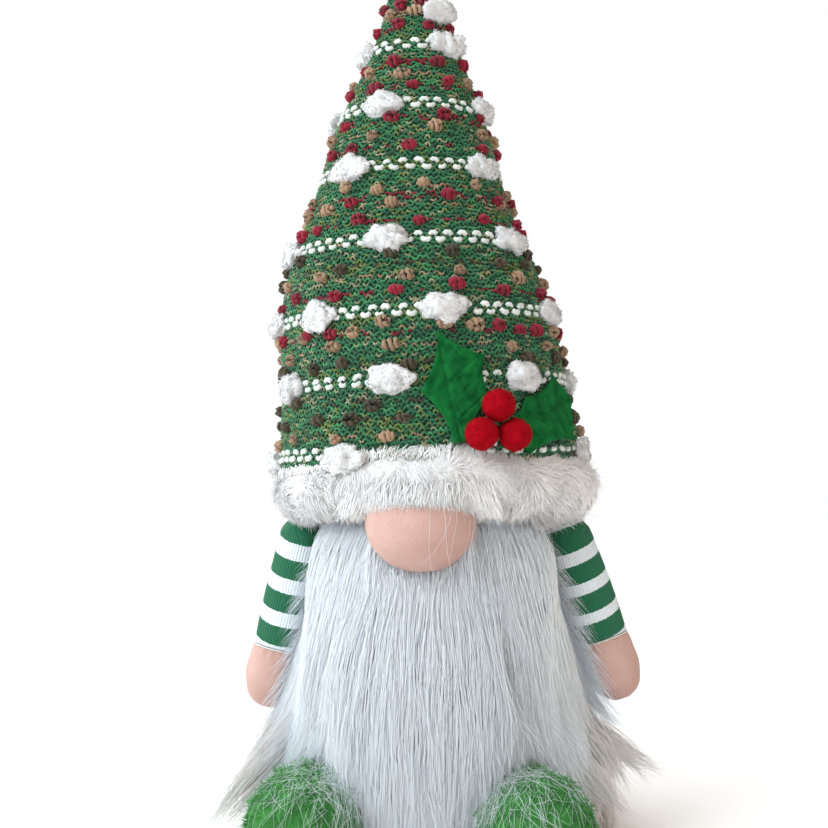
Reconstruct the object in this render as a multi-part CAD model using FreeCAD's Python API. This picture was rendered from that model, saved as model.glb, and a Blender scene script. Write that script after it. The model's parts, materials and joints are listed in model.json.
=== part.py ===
import FreeCAD, Part
import math
import os

# A stuffed nordic gnome (tomte) that stands on its flat base: a pear-shaped fur body with a
# long beard, a ball nose, two hanging arms, two fleece shoes and a tall knitted hat with a
# rolled fur brim and a sprig of felt holly.
# The origin is the centre of the base on the floor, +Z is up and the gnome faces -Y.
# Lengths are in millimetres and angles in degrees.

# ---- Clearances and fabric thicknesses ----
GAP = 0.3  # air between two separate pieces
SEAM_GAP = 0.2  # between two fabric edges that a thread joins
FUR_BACKING = 2.0
JERSEY = 1.2
FLEECE = 2.0
KNIT = 2.2
FELT = 1.5
STIFFENER = 1.0
NOSE_SKIN = 1.0
THREAD_RADIUS = 0.5
WRIST_THREAD_RADIUS = 0.35

# ---- Body: a pear that narrows to a neck and ends in a round head inside the hat ----
BASE_RADIUS = 59.0
BELLY_RADIUS = 67.0
BELLY_HEIGHT = 45.0
CHEST_RADIUS = 59.0
CHEST_HEIGHT = 92.0
NECK_RADIUS = 46.6
NECK_HEIGHT = 136.0
HEAD_RADIUS = 47.6
HEAD_HEIGHT = 166.0
CROWN_HEIGHT = 207.0
BELLY_POINTS = ((0.4, 0.964), (1.5, 0.966))  # shares of BELLY_HEIGHT and BELLY_RADIUS
CROWN_POINTS = ((0.48, 0.9), (0.83, 0.6))  # shares of the way up to the crown and of HEAD_RADIUS
CROWN_DROP = 0.7  # an inner layer lies lower at those points by this share of its inset
BASE_PANEL_THICKNESS = 1.5
BASE_BOARD_THICKNESS = 2.0
PELLET_TOP = 32.0
CROWN_THREAD_RING = 8.0

# ---- Brim: a stuffed roll of plush round the head, a little lower on the gnome's -X side ----
BRIM_RING = 64.0
BRIM_TUBE = 15.0
BRIM_HEIGHT = 165.0
BRIM_TILT = 1.5
BRIM_THREAD_RING = 58.0

# ---- Hat: round sections from the brim to the tip: height, radius, and how far it leans ----
HAT_TIP_HEIGHT = 448.0
HAT_TIP_LEAN = (-9.5, 9.0)
HAT_SECTIONS = (
    (172.0, 71.5, -3.0, 0.0),
    (208.0, 70.5, -5.5, 0.0),
    (234.0, 69.0, -8.0, 0.5),
    (258.0, 65.5, -10.5, 1.0),
    (283.0, 57.5, -12.5, 2.0),
    (308.0, 48.5, -13.0, 3.0),
    (334.0, 41.5, -13.0, 4.0),
    (358.0, 33.5, -12.0, 5.0),
    (384.0, 23.0, -11.0, 6.0),
    (408.0, 16.0, -10.5, 7.0),
    (428.0, 12.0, -10.0, 8.0),
    (442.0, 6.5, -9.5, 8.5),
)
HAT_SHRINK_AT_TIP = 1.4  # an inner layer ends this many times its inset below the tip

# ---- Beard: a long-pile fur panel laid over the front of the body ----
BEARD_THICKNESS = 17.0
BEARD_HALF_WIDTH = 47.5
BEARD_BOTTOM = 6.0
BEARD_TOP = 147.0
BEARD_HALF_ANGLE = 58.0
BEARD_THREAD_HEIGHT = 148.3
BEARD_THREAD_RING = 54.0

# ---- Nose: a stuffed ball gathered at its back, pressed flat on top by the brim ----
NOSE_HALF_WIDTH = 25.5
NOSE_HALF_DEPTH = 26.0
NOSE_HALF_HEIGHT = 22.0
NOSE_CENTRE_Y = -65.0
NOSE_CENTRE_HEIGHT = 147.0
NOSE_TOP = 155.0
NOSE_THREAD_RING = 4.0
NOSE_THREAD_DEPTH = 5.0  # in front of the neck's surface

# ---- Arms: each hangs from a sewn shoulder tab and is a ball-ended tube with a mitten hand ----
SHOULDER_X = 66.0
SHOULDER_Y = -6.0
SHOULDER_HEIGHT = 134.4
SPLAY_LEFT = 13.5
SPLAY_RIGHT = 19.5
SLEEVE_TOP_RADIUS = 12.9
SLEEVE_MID_RADIUS = 13.4
SLEEVE_END_RADIUS = 12.6
SLEEVE_LENGTH_LEFT = 50.0
SLEEVE_LENGTH_RIGHT = 45.5
SLEEVE_MID = 0.62  # share of the length at which the sleeve is widest
HAND_WRIST_RADIUS = 11.8
HAND_RADIUS = 13.0
HAND_LENGTH = 30.0
HAND_POINTS = ((0.9, 0.62), (0.55, 1.0))  # shares of HAND_LENGTH down and of HAND_RADIUS
TAB_RADIUS = 4.0
TAB_INNER = 48.9  # from the body's middle to the tab, clear of the chest however it turns

# ---- Shoes: round fleece boots with flat felt soles, toes turned out ----
SHOE_X = 50.0
SHOE_Y = -69.0
SHOE_HALF_WIDTH = 25.5
SHOE_HALF_LENGTH = 33.0
SHOE_HALF_HEIGHT = 27.0
SHOE_CENTRE_HEIGHT = 12.0
SHOE_TOE_OUT = 20.0
SOLE_THICKNESS = 2.0

# ---- Holly: two felt leaves and three felt balls on the front of the hat ----
LEAF_OFF_HAT = 0.5
LEAF_HOLLOW = 0.08  # how far each edge between two spikes curves in, over its length
LEAVES = {  # azimuth and height of the stalk end, turn to the left of upright, spikes from the stalk
    "left": (17.0, 183.3, 11.5, (
        (3.8, 0.0), (18.0, 18.0), (19.3, 37.0), (0.0, 52.0), (-12.8, 26.0), (-3.8, 0.0),
    )),
    "right": (35.0, 189.3, -70.0, (
        (3.8, 0.0), (13.5, 5.0), (17.2, 37.5), (0.0, 52.0), (-14.5, 41.0), (-11.0, 17.0), (-3.8, 0.0),
    )),
}
BERRY_RADIUS = 7.4
BERRY_OFF_HAT = 6.4  # the leaves pass behind the berries
BERRY_PLACES = {  # azimuth and height
    "top": (28.9, 199.6),
    "left": (22.6, 186.6),
    "right": (33.6, 186.6),
}

BIG = 400.0  # longer than any piece is wide, for trimming blocks

Z_AXIS = FreeCAD.Vector(0, 0, 1)
Y_AXIS = FreeCAD.Vector(0, 1, 0)
ORIGIN = FreeCAD.Vector(0, 0, 0)


def slab(bottom, top):
    """A block far wider than the gnome between two heights."""
    return Part.makeBox(2 * BIG, 2 * BIG, top - bottom, FreeCAD.Vector(-BIG, -BIG, bottom))


def turned(points):
    """The solid that a smooth outline of (radius, height) points sweeps round the Z axis.

    The outline runs from the axis or from its lowest rim up to the axis at the top."""
    curve_points = [FreeCAD.Vector(radius, 0, height) for radius, height in points]
    curve = Part.BSplineCurve()
    curve.interpolate(curve_points)
    first = curve_points[0]
    last = curve_points[-1]
    edges = [curve.toShape()]
    low = FreeCAD.Vector(0, 0, first.z)
    edges.append(Part.makeLine(last, low))
    if first.x > 0:
        edges.append(Part.makeLine(low, first))
    face = Part.Face(Part.Wire(edges))
    return face.revolve(ORIGIN, Z_AXIS, 360)


def body_form(inset):
    """The pear body and head, made smaller all round by inset, standing on the floor plane."""
    below, above = [(up * BELLY_HEIGHT, wide * BELLY_RADIUS) for up, wide in BELLY_POINTS]
    outline = (
        (0.0, BASE_RADIUS),
        below,
        (BELLY_HEIGHT, BELLY_RADIUS),
        above,
        (CHEST_HEIGHT, CHEST_RADIUS),
        (NECK_HEIGHT, NECK_RADIUS),
        (HEAD_HEIGHT, HEAD_RADIUS),
    )
    points = [(radius - inset, height) for height, radius in outline]
    for up, wide in CROWN_POINTS:
        height = HEAD_HEIGHT + up * (CROWN_HEIGHT - HEAD_HEIGHT)
        points.append((wide * HEAD_RADIUS - inset, height - CROWN_DROP * inset))
    points.append((0.0, CROWN_HEIGHT - inset))
    return turned(points)


def brim_form(inset):
    """The rolled brim as a ring, made thinner all round by inset."""
    ring = Part.makeTorus(BRIM_RING, BRIM_TUBE - inset)
    return on_brim(ring)


def on_brim(shape):
    """Moves a shape from a level frame at the roll's centre to the tilted brim."""
    placed = shape.copy()
    placed.rotate(ORIGIN, Y_AXIS, -BRIM_TILT)
    placed.translate(FreeCAD.Vector(0, 0, BRIM_HEIGHT))
    return placed


def hat_form(inset):
    """The hat's cone as a solid, made smaller all round by inset."""
    wires = []
    for height, radius, lean_x, lean_y in HAT_SECTIONS:
        if radius - inset > 2 * THREAD_RADIUS:
            centre = FreeCAD.Vector(lean_x, lean_y, height)
            wires.append(Part.Wire(Part.makeCircle(radius - inset, centre, Z_AXIS)))
    tip = FreeCAD.Vector(*HAT_TIP_LEAN, HAT_TIP_HEIGHT - HAT_SHRINK_AT_TIP * inset)
    wires.append(Part.Vertex(tip))
    return Part.makeLoft(wires, True, False)


def ball(half_x, half_y, half_z, centre):
    """An ellipsoid with the given half sizes."""
    sphere = Part.makeSphere(1.0)
    stretch = FreeCAD.Matrix()
    stretch.scale(half_x, half_y, half_z)
    shape = sphere.transformGeometry(stretch)
    shape.translate(centre)
    return shape


def nose_form(inset):
    """The flat-topped nose ball before the head and brim press into it."""
    centre = FreeCAD.Vector(0, NOSE_CENTRE_Y, NOSE_CENTRE_HEIGHT)
    shape = ball(NOSE_HALF_WIDTH - inset, NOSE_HALF_DEPTH - inset, NOSE_HALF_HEIGHT - inset, centre)
    return shape.common(slab(0, NOSE_TOP - inset))


def shoe_form(side, inset):
    """A boot on the floor, rounded all over, with its toe turned out. side is -1 or +1."""
    centre = FreeCAD.Vector(0, 0, SHOE_CENTRE_HEIGHT)
    shape = ball(SHOE_HALF_WIDTH - inset, SHOE_HALF_LENGTH - inset, SHOE_HALF_HEIGHT - inset, centre)
    shape.rotate(ORIGIN, Z_AXIS, side * SHOE_TOE_OUT)
    shape.translate(FreeCAD.Vector(side * SHOE_X, SHOE_Y, 0))
    return shape


def make_body():
    """The fur bag, what fills it, and the panel and board that give it a flat base."""
    shell_bottom = BASE_PANEL_THICKNESS + GAP
    inside = body_form(FUR_BACKING + GAP)
    board_top = shell_bottom + BASE_BOARD_THICKNESS
    pellet_bottom = board_top + GAP
    stuffing_bottom = PELLET_TOP + GAP
    cover = body_form(0).cut(body_form(FUR_BACKING))
    thread = Part.makeTorus(CROWN_THREAD_RING, THREAD_RADIUS)
    thread.translate(FreeCAD.Vector(0, 0, CROWN_HEIGHT + GAP + THREAD_RADIUS))
    board_radius = BASE_RADIUS - FUR_BACKING - 2 * GAP
    return {
        "body_fur_cover": cover.common(slab(shell_bottom, BIG)),
        "base_panel": Part.makeCylinder(BASE_RADIUS - GAP, BASE_PANEL_THICKNESS),
        "base_board": Part.makeCylinder(
            board_radius, BASE_BOARD_THICKNESS, FreeCAD.Vector(0, 0, shell_bottom)
        ),
        "pellet_bag": inside.common(slab(pellet_bottom, PELLET_TOP)),
        "body_stuffing": inside.common(slab(stuffing_bottom, BIG)),
        "crown_gather_thread": thread,
    }


def make_brim():
    """The rolled plush brim, its wadding and the thread that holds it to the knit."""
    thread = Part.makeTorus(BRIM_THREAD_RING, THREAD_RADIUS)
    thread.translate(FreeCAD.Vector(0, 0, BRIM_TUBE + GAP + THREAD_RADIUS))
    return {
        "brim_fur_cover": brim_form(0).cut(brim_form(FUR_BACKING)),
        "brim_wadding": brim_form(FUR_BACKING + GAP),
        "brim_stitch_thread": on_brim(thread),
    }


def make_hat():
    """The knitted cover, the stiff cone under it and the stuffing above the head."""
    brim_space = brim_form(-GAP)
    liner_inset = KNIT + GAP
    filling_inset = liner_inset + STIFFENER + GAP
    knit = hat_form(0).cut(hat_form(KNIT)).cut(brim_space)
    liner = hat_form(liner_inset).cut(hat_form(liner_inset + STIFFENER)).cut(brim_space)
    above_thread = slab(BRIM_TUBE + 2 * GAP + 2 * THREAD_RADIUS, BIG)
    head_space = body_form(-2 * GAP - 3 * THREAD_RADIUS)
    filling = hat_form(filling_inset).common(on_brim(above_thread)).cut(head_space)
    return {
        "hat_knit_cover": knit,
        "hat_stiffener": liner,
        "hat_stuffing": filling,
    }


def make_nose():
    """The skin, its filling and the gathering thread at the back."""
    head_space = body_form(-GAP)
    brim_space = brim_form(-GAP)
    thread_y = -NECK_RADIUS - NOSE_THREAD_DEPTH
    thread = Part.makeTorus(
        NOSE_THREAD_RING, THREAD_RADIUS, FreeCAD.Vector(0, thread_y, NOSE_CENTRE_HEIGHT), Y_AXIS
    )
    thread_space = Part.makeCylinder(
        NOSE_THREAD_RING + 2 * THREAD_RADIUS,
        NOSE_THREAD_DEPTH + 2 * THREAD_RADIUS,
        FreeCAD.Vector(0, thread_y - 2 * THREAD_RADIUS, NOSE_CENTRE_HEIGHT),
        Y_AXIS,
    )
    wall = NOSE_SKIN + GAP
    outside = nose_form(0).cut(head_space).cut(brim_space)
    hollow = nose_form(NOSE_SKIN).cut(body_form(-wall)).cut(brim_form(-wall))
    deep = wall + GAP
    filling = nose_form(wall).cut(body_form(-deep)).cut(brim_form(-deep)).cut(thread_space)
    return {
        "nose_cover": outside.cut(hollow),
        "nose_stuffing": filling,
        "nose_gather_thread": thread,
    }


def make_beard():
    """The beard panel, which parts round the nose and the shoes, and its row of stitches."""
    nose_space = nose_form(-GAP)
    slice_angle = 2 * BEARD_HALF_ANGLE
    wedge = Part.makeCylinder(BIG, BIG, ORIGIN, Z_AXIS, slice_angle)
    wedge.rotate(ORIGIN, Z_AXIS, -90 - BEARD_HALF_ANGLE)
    column = Part.makeBox(
        2 * BEARD_HALF_WIDTH, BIG, BEARD_TOP - BEARD_BOTTOM,
        FreeCAD.Vector(-BEARD_HALF_WIDTH, -BIG, BEARD_BOTTOM),
    )
    panel = body_form(-BEARD_THICKNESS).cut(body_form(-GAP)).common(wedge).common(column)
    panel = panel.cut(nose_space)
    for side in (-1, 1):
        panel = panel.cut(shoe_form(side, -GAP))
    stitches = Part.makeTorus(BEARD_THREAD_RING, THREAD_RADIUS)
    stitches.translate(FreeCAD.Vector(0, 0, BEARD_THREAD_HEIGHT))
    stitches = stitches.common(wedge).common(slab(BEARD_TOP, BIG)).cut(nose_space)
    return {"beard_fur_panel": panel, "beard_stitch_thread": stitches}


def make_shoe(side, name):
    """One boot: fleece upper, felt sole and stuffing, hollowed where it meets the body."""
    outside = shoe_form(side, 0).cut(body_form(-GAP))
    hollow = shoe_form(side, FLEECE).cut(body_form(-GAP - FLEECE))
    inset = FLEECE + GAP
    filling = shoe_form(side, inset).cut(body_form(-GAP - inset))
    above_sole = slab(SOLE_THICKNESS + GAP, BIG)
    sole = outside.common(slab(0, SOLE_THICKNESS))
    return {
        "shoe_upper_" + name: outside.cut(hollow).common(above_sole),
        "shoe_sole_" + name: sole,
        "shoe_stuffing_" + name: filling.common(above_sole),
    }


def sleeve_form(length, inset):
    """A sleeve that hangs from the origin: a ball top and a slightly swollen tube."""
    radius = SLEEVE_TOP_RADIUS - inset
    tube_points = (
        (SLEEVE_END_RADIUS - inset, -length),
        (SLEEVE_MID_RADIUS - inset, -SLEEVE_MID * length),
        (SLEEVE_TOP_RADIUS - inset, 0.0),
    )
    curve = Part.BSplineCurve()
    curve.interpolate([FreeCAD.Vector(r, 0, z) for r, z in tube_points])
    top = FreeCAD.Vector(0, 0, radius)
    rim = FreeCAD.Vector(radius, 0, 0)
    low = FreeCAD.Vector(SLEEVE_END_RADIUS - inset, 0, -length)
    foot = FreeCAD.Vector(0, 0, -length)
    half = radius * math.sqrt(0.5)
    dome = Part.Arc(rim, FreeCAD.Vector(half, 0, half), top)
    edges = [curve.toShape(), dome.toShape(), Part.makeLine(top, foot), Part.makeLine(foot, low)]
    face = Part.Face(Part.Wire(edges))
    return face.revolve(ORIGIN, Z_AXIS, 360)


def hand_form(sleeve_length, inset):
    """A rounded mitten below the sleeve, still hanging from the origin."""
    top = -sleeve_length - SEAM_GAP
    (round_down, round_wide), (full_down, full_wide) = HAND_POINTS
    outline = (
        (0.0, top - HAND_LENGTH + inset),
        (round_wide * (HAND_RADIUS - inset), top - round_down * HAND_LENGTH + inset),
        (full_wide * HAND_RADIUS - inset, top - full_down * HAND_LENGTH),
        (HAND_WRIST_RADIUS - inset, top),
    )
    curve = Part.BSplineCurve()
    curve.interpolate([FreeCAD.Vector(r, 0, z) for r, z in outline])
    rim = FreeCAD.Vector(HAND_WRIST_RADIUS - inset, 0, top)
    centre = FreeCAD.Vector(0, 0, top)
    tip = FreeCAD.Vector(0, 0, outline[0][1])
    edges = [curve.toShape(), Part.makeLine(rim, centre), Part.makeLine(centre, tip)]
    face = Part.Face(Part.Wire(edges))
    return face.revolve(ORIGIN, Z_AXIS, 360)


def on_shoulder(shape, side, splay):
    """Swings a hanging arm piece outwards by splay and moves it to its shoulder."""
    placed = shape.copy()
    placed.rotate(ORIGIN, Y_AXIS, -side * splay)
    placed.translate(FreeCAD.Vector(side * SHOULDER_X, SHOULDER_Y, SHOULDER_HEIGHT))
    return placed


def make_arm(side, splay, length, name):
    """Sleeve, hand, the filling that runs through both, the wrist stitches and the tab."""
    wall = JERSEY + GAP
    sleeve_filling = sleeve_form(length, wall)
    hand_filling = hand_form(length, wall)
    seam_middle = -length - SEAM_GAP / 2
    wrist_plug = Part.makeCylinder(
        HAND_WRIST_RADIUS - wall, 2 * SEAM_GAP, FreeCAD.Vector(0, 0, seam_middle - SEAM_GAP)
    )
    filling = sleeve_filling.fuse(hand_filling).fuse(wrist_plug)
    stitch_ring = HAND_WRIST_RADIUS + 2 * SEAM_GAP + WRIST_THREAD_RADIUS
    stitches = Part.makeTorus(stitch_ring, WRIST_THREAD_RADIUS)
    stitches.translate(FreeCAD.Vector(0, 0, -length - SEAM_GAP - WRIST_THREAD_RADIUS))
    pieces = {
        "sleeve_" + name: sleeve_form(length, 0).cut(sleeve_form(length, JERSEY)),
        "hand_" + name: hand_form(length, 0).cut(hand_form(length, JERSEY)),
        "arm_stuffing_" + name: filling,
        "wrist_stitch_" + name: stitches,
    }
    placed = {key: on_shoulder(shape, side, splay) for key, shape in pieces.items()}
    tab_outer = SHOULDER_X - SLEEVE_TOP_RADIUS - GAP
    start = FreeCAD.Vector(side * TAB_INNER, SHOULDER_Y, SHOULDER_HEIGHT)
    outwards = FreeCAD.Vector(side, 0, 0)
    placed["shoulder_tab_" + name] = Part.makeCylinder(
        TAB_RADIUS, tab_outer - TAB_INNER, start, outwards
    )
    return placed


def leaf_outline(spikes):
    """A holly leaf in the XZ plane, stalk end at the origin, with hollow edges between spikes."""
    corners = [FreeCAD.Vector(x, 0, z) for x, z in spikes]
    middle = FreeCAD.Vector(0, 0, 0.5 * max(z for x, z in spikes))
    edges = []
    for start, end in zip(corners, corners[1:]):
        halfway = (start + end) * 0.5
        inwards = (middle - halfway).normalize()
        hollow = halfway + inwards * (LEAF_HOLLOW * (end - start).Length)
        edges.append(Part.Arc(start, hollow, end).toShape())
    edges.append(Part.makeLine(corners[-1], corners[0]))
    return Part.Face(Part.Wire(edges))


def hat_at(height):
    """Radius and lean of the hat's cone at a height, from the sections on each side of it."""
    for low, high in zip(HAT_SECTIONS, HAT_SECTIONS[1:]):
        if low[0] <= height <= high[0]:
            share = (height - low[0]) / (high[0] - low[0])
            return [a + share * (b - a) for a, b in zip(low[1:], high[1:])]
    raise ValueError("height is outside the hat")


def make_leaf(azimuth, height, turn, spikes):
    """A felt leaf that lies just off the hat and follows its curve.

    Its outline is pushed through the hat along the direction that its middle faces."""
    length = max(z for x, z in spikes)
    radius, lean_x, lean_y = hat_at(height)
    sideways = -math.sin(math.radians(turn)) * 0.5 * length
    facing = azimuth + math.degrees(sideways / radius)
    prism = leaf_outline(spikes).extrude(FreeCAD.Vector(0, BIG / 2, 0))
    prism.rotate(ORIGIN, Y_AXIS, -turn)
    prism.translate(FreeCAD.Vector(-sideways, -BIG / 2, height))
    prism.rotate(ORIGIN, Z_AXIS, facing)
    prism.translate(FreeCAD.Vector(lean_x, lean_y, 0))
    layer = hat_form(-LEAF_OFF_HAT - FELT).cut(hat_form(-LEAF_OFF_HAT))
    return prism.common(layer).cut(brim_form(-GAP))


def make_berry(azimuth, height):
    """A felt ball in front of the leaves."""
    radius, lean_x, lean_y = hat_at(height)
    ring = radius + BERRY_OFF_HAT + BERRY_RADIUS
    angle = math.radians(azimuth)
    centre = FreeCAD.Vector(lean_x + ring * math.sin(angle), lean_y - ring * math.cos(angle), height)
    return Part.makeSphere(BERRY_RADIUS, centre)


def make_holly():
    """Two leaves and three berries."""
    pieces = {}
    for name, (azimuth, height, turn, spikes) in LEAVES.items():
        pieces["holly_leaf_" + name] = make_leaf(azimuth, height, turn, spikes)
    for name, (azimuth, height) in BERRY_PLACES.items():
        pieces["holly_berry_" + name] = make_berry(azimuth, height)
    return pieces


def check_piece(name, shape):
    """Stops the build when a piece is empty or broken."""
    if not shape.Solids or not shape.isValid():
        raise ValueError(name + " is not a valid solid")


def main():
    parts = {}
    parts.update(make_body())
    parts.update(make_brim())
    parts.update(make_hat())
    parts.update(make_nose())
    parts.update(make_beard())
    parts.update(make_holly())
    arms = ((-1, SPLAY_LEFT, SLEEVE_LENGTH_LEFT, "left"), (1, SPLAY_RIGHT, SLEEVE_LENGTH_RIGHT, "right"))
    for side, splay, length, name in arms:
        parts.update(make_arm(side, splay, length, name))
        parts.update(make_shoe(side, name))
    os.makedirs("parts", exist_ok=True)
    for name, shape in parts.items():
        check_piece(name, shape)
        solids = shape.Solids
        piece = solids[0] if len(solids) == 1 else Part.makeCompound(solids)
        piece.exportStep("parts/" + name + ".step")
        print(name, len(solids), round(piece.Volume), piece.BoundBox)


main()
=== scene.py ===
import json
import math

import bmesh
import bpy
import numpy as np
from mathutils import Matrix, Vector
from mathutils.bvhtree import BVHTree


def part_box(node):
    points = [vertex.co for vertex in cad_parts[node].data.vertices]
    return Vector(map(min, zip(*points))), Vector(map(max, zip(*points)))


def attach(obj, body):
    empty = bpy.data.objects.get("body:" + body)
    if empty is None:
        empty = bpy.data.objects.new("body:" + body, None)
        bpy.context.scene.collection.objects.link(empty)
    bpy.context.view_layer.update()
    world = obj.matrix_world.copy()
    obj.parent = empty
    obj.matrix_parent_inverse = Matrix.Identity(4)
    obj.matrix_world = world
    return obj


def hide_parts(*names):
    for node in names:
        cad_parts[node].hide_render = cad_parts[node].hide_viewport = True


# The looks of the gnome. It faces -Y, +Z is up, lengths are in metres and angles in radians
# unless a name says otherwise. An azimuth is the angle round the Z axis from the front towards +X.

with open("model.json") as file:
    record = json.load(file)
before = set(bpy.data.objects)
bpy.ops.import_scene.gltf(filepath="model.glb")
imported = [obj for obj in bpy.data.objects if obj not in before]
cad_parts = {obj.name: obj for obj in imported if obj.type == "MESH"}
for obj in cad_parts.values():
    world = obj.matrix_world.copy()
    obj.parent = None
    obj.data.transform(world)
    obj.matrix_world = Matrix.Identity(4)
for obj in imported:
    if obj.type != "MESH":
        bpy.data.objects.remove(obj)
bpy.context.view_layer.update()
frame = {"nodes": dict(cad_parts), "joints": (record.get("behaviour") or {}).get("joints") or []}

MM = 0.001
TURN = 2 * math.pi
FULL_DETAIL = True
STEMS = {-1: "left", 1: "right"}

# ---- Places that repeat the CAD's driving dimensions ----
BRIM_RING = 64 * MM
BRIM_HEIGHT = 165 * MM
BRIM_TILT = math.radians(1.5)
NOSE_CENTRE = np.array((0, -65, 147)) * MM
NOSE_HALVES = np.array((25.5, 26, 22)) * MM
SHOE_CENTRE = np.array((50, -69, 12)) * MM
SHOE_HALVES = np.array((25.5, 33, 27)) * MM
SHOE_TOE_OUT = math.radians(20)
SPLAY = {-1: math.radians(13.5), 1: math.radians(19.5)}
SLEEVE_LENGTH = {-1: 50 * MM, 1: 45.5 * MM}
HAND_LENGTH = 30 * MM
BERRY_RADIUS = 7.4 * MM
FORM_REACH = 60 * MM  # from a stuffed form's centre to well outside it
HAT_REACH = 300 * MM  # from the axis to well outside the body and the hat

# ---- How many strands each fur has ----
BEARD_STRANDS = 25000
MOUSTACHE_STRANDS = 1500
BODY_STRANDS = 14000
STRAY_STRANDS = 850
OVER_SHOE_STRANDS = 320
OVER_SLEEVE_STRANDS = 760
OVER_NOSE_STRANDS = 20
PLUSH_STRANDS = 34000
FRINGE_STRANDS = 2600
SHOE_FIBRES = 6500
BERRY_FIBRES = 1500
SLUB_FIBRES = 800
OWN_NORMAL = 0.35  # the part of a strand's own roundness in its shading

# ---- How a strand's radius changes from its root to its tip ----
LONG_TAPER = np.array((1, 1.1, 1.1, 1.05, 0.95, 0.8, 0.55, 0.3))
LOCK_TAPER = np.array((1, 1.1, 1.1, 1.0, 0.9, 0.75, 0.5, 0.3))
BODY_TAPER = np.array((1, 1.1, 1.1, 1.0, 0.8, 0.55, 0.3))
PLUSH_TAPER = np.array((1, 1.1, 1.0, 0.7, 0.3))
FUZZ_TAPER = np.array((1, 1.1, 0.8, 0.3))

# ---- The hat ----
KNIT_LOW = 176 * MM  # where the knit starts, behind the brim
KNIT_TOP = 446 * MM
LOOP_PITCH = 1.95 * MM
LOOP_WIDTH = 2.35 * MM
HEM_CLEAR = 184 * MM  # every level line towards the hat's axis above this meets the hat's outside
HAT_SIDES = 160
HAT_ROW_SLOPE = 0.036  # the knitted rows climb this much towards +X and towards the back

# Each leaf: azimuth and height of its stalk, turn to the left of upright, and its right and
# left edges as spikes of (across, along) in millimetres from the stalk to the tip.
LEAVES = {
    "left": (
        17.0, 183.3, 11.5,
        ((3.8, 0), (18, 18), (19.3, 37), (0, 52)),
        ((-3.8, 0), (-12.8, 26), (0, 52)),
    ),
    "right": (
        35.0, 189.3, -70.0,
        ((3.8, 0), (13.5, 5), (17.2, 37.5), (0, 52)),
        ((-3.8, 0), (-11, 17), (-14.5, 41), (0, 52)),
    ),
}

# ---- The hat's pattern, by knitted row height in millimetres and azimuth in degrees ----
WHITE_ROWS = (182.6, 215.0, 247.0, 282.0, 320.0, 352.5, 386.6, 420.0)
SLUB_AZIMUTHS = (
    (-85, -25, 85), (-55, -6, 47), (-36, 16, 75), (-69, -5, 60),
    (-32, 55), (-16, 78), (-85, 49), (20,),
)
SLUB_SPACING = 62 * MM
# height, yarn, azimuths of the nubs that face the front
NUB_ROWS = (
    (189.5, "tan", (-52, -31, -10, 11, 68)),
    (198.0, "dark", (-62, -40, -24, -3, 60)),
    (205.5, "dark", (-49, -12, 8, 78)),
    (223.0, "dark", (-64, -41, -21, 0, 52)),
    (230.0, "tan", (-55, -27, -7, 17, 44, 66)),
    (237.0, "red", (-64, -43, -28, 39, 52, 62)),
    (238.5, "tan", (-5, 17, 30, 74)),
    (256.0, "red", (-66, -52, -27, -2, 23)),
    (263.5, "tan", (-60, -37, 4, 27, 54)),
    (269.0, "dark", (-72, -24, 68, 44)),
    (275.0, "dark", (-50, -2, 24, 78)),
    (291.0, "red", (-62, -46, -16, 11, 47)),
    (300.0, "tan", (-40, -4, 64)),
    (303.5, "red", (-70, -26, 27, 62)),
    (309.0, "tan", (-8, 14)),
    (330.5, "red", (-58, -34, 4, 60)),
    (338.0, "tan", (-62, -17, 24)),
    (344.5, "red", (-48, -6, 31, 66)),
    (362.0, "red", (-64, -28, 8, 38)),
    (369.0, "tan", (-42, -4, 64)),
    (376.0, "red", (-55, -12, 28, 72)),
    (397.0, "red", (-66, -20, 22, 64)),
    (405.0, "tan", (-40, 4, 44)),
    (411.0, "red", (-70, -22, 26)),
    (430.0, "red", (-40, 10, 60)),
    (437.0, "tan", (-14, 38)),
)
NUB_SPACING = 27 * MM


# ---------------------------------------------------------------- numbers and meshes

def unit(vectors):
    """The vectors at length one."""
    return vectors / np.maximum(np.linalg.norm(vectors, axis=-1, keepdims=True), 1e-12)


def smooth(low, high, value):
    """0 below low, 1 above high and an even curve between."""
    share = np.clip((value - low) / (high - low), 0, 1)
    return share * share * (3 - 2 * share)


def ripple(points, size, seed, waves=9):
    """Seeded noise, mostly between -1 and 1, that varies over about size."""
    rng = np.random.default_rng(seed)
    total = 0
    for _ in range(waves):
        direction = unit(rng.normal(size=points.shape[-1]))
        rate = TURN / size * rng.uniform(0.6, 1.5)
        total = total + np.sin(points @ direction * rate + rng.uniform(0, TURN))
    return total / math.sqrt(waves / 1.6)


def circle(count):
    """That many angles, evenly round a full turn."""
    return np.linspace(0, TURN, count, endpoint=False)


def polar(azimuth, radius, height):
    """Points from azimuth, radius and height, with the azimuth from the front towards +X."""
    azimuth, radius, height = np.broadcast_arrays(azimuth, radius, height)
    return np.stack((radius * np.sin(azimuth), -radius * np.cos(azimuth), height), axis=-1)


def azimuth_from_front(azimuth):
    """The azimuth between half a turn to -X and half a turn to +X."""
    return (azimuth + math.pi) % TURN - math.pi


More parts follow.
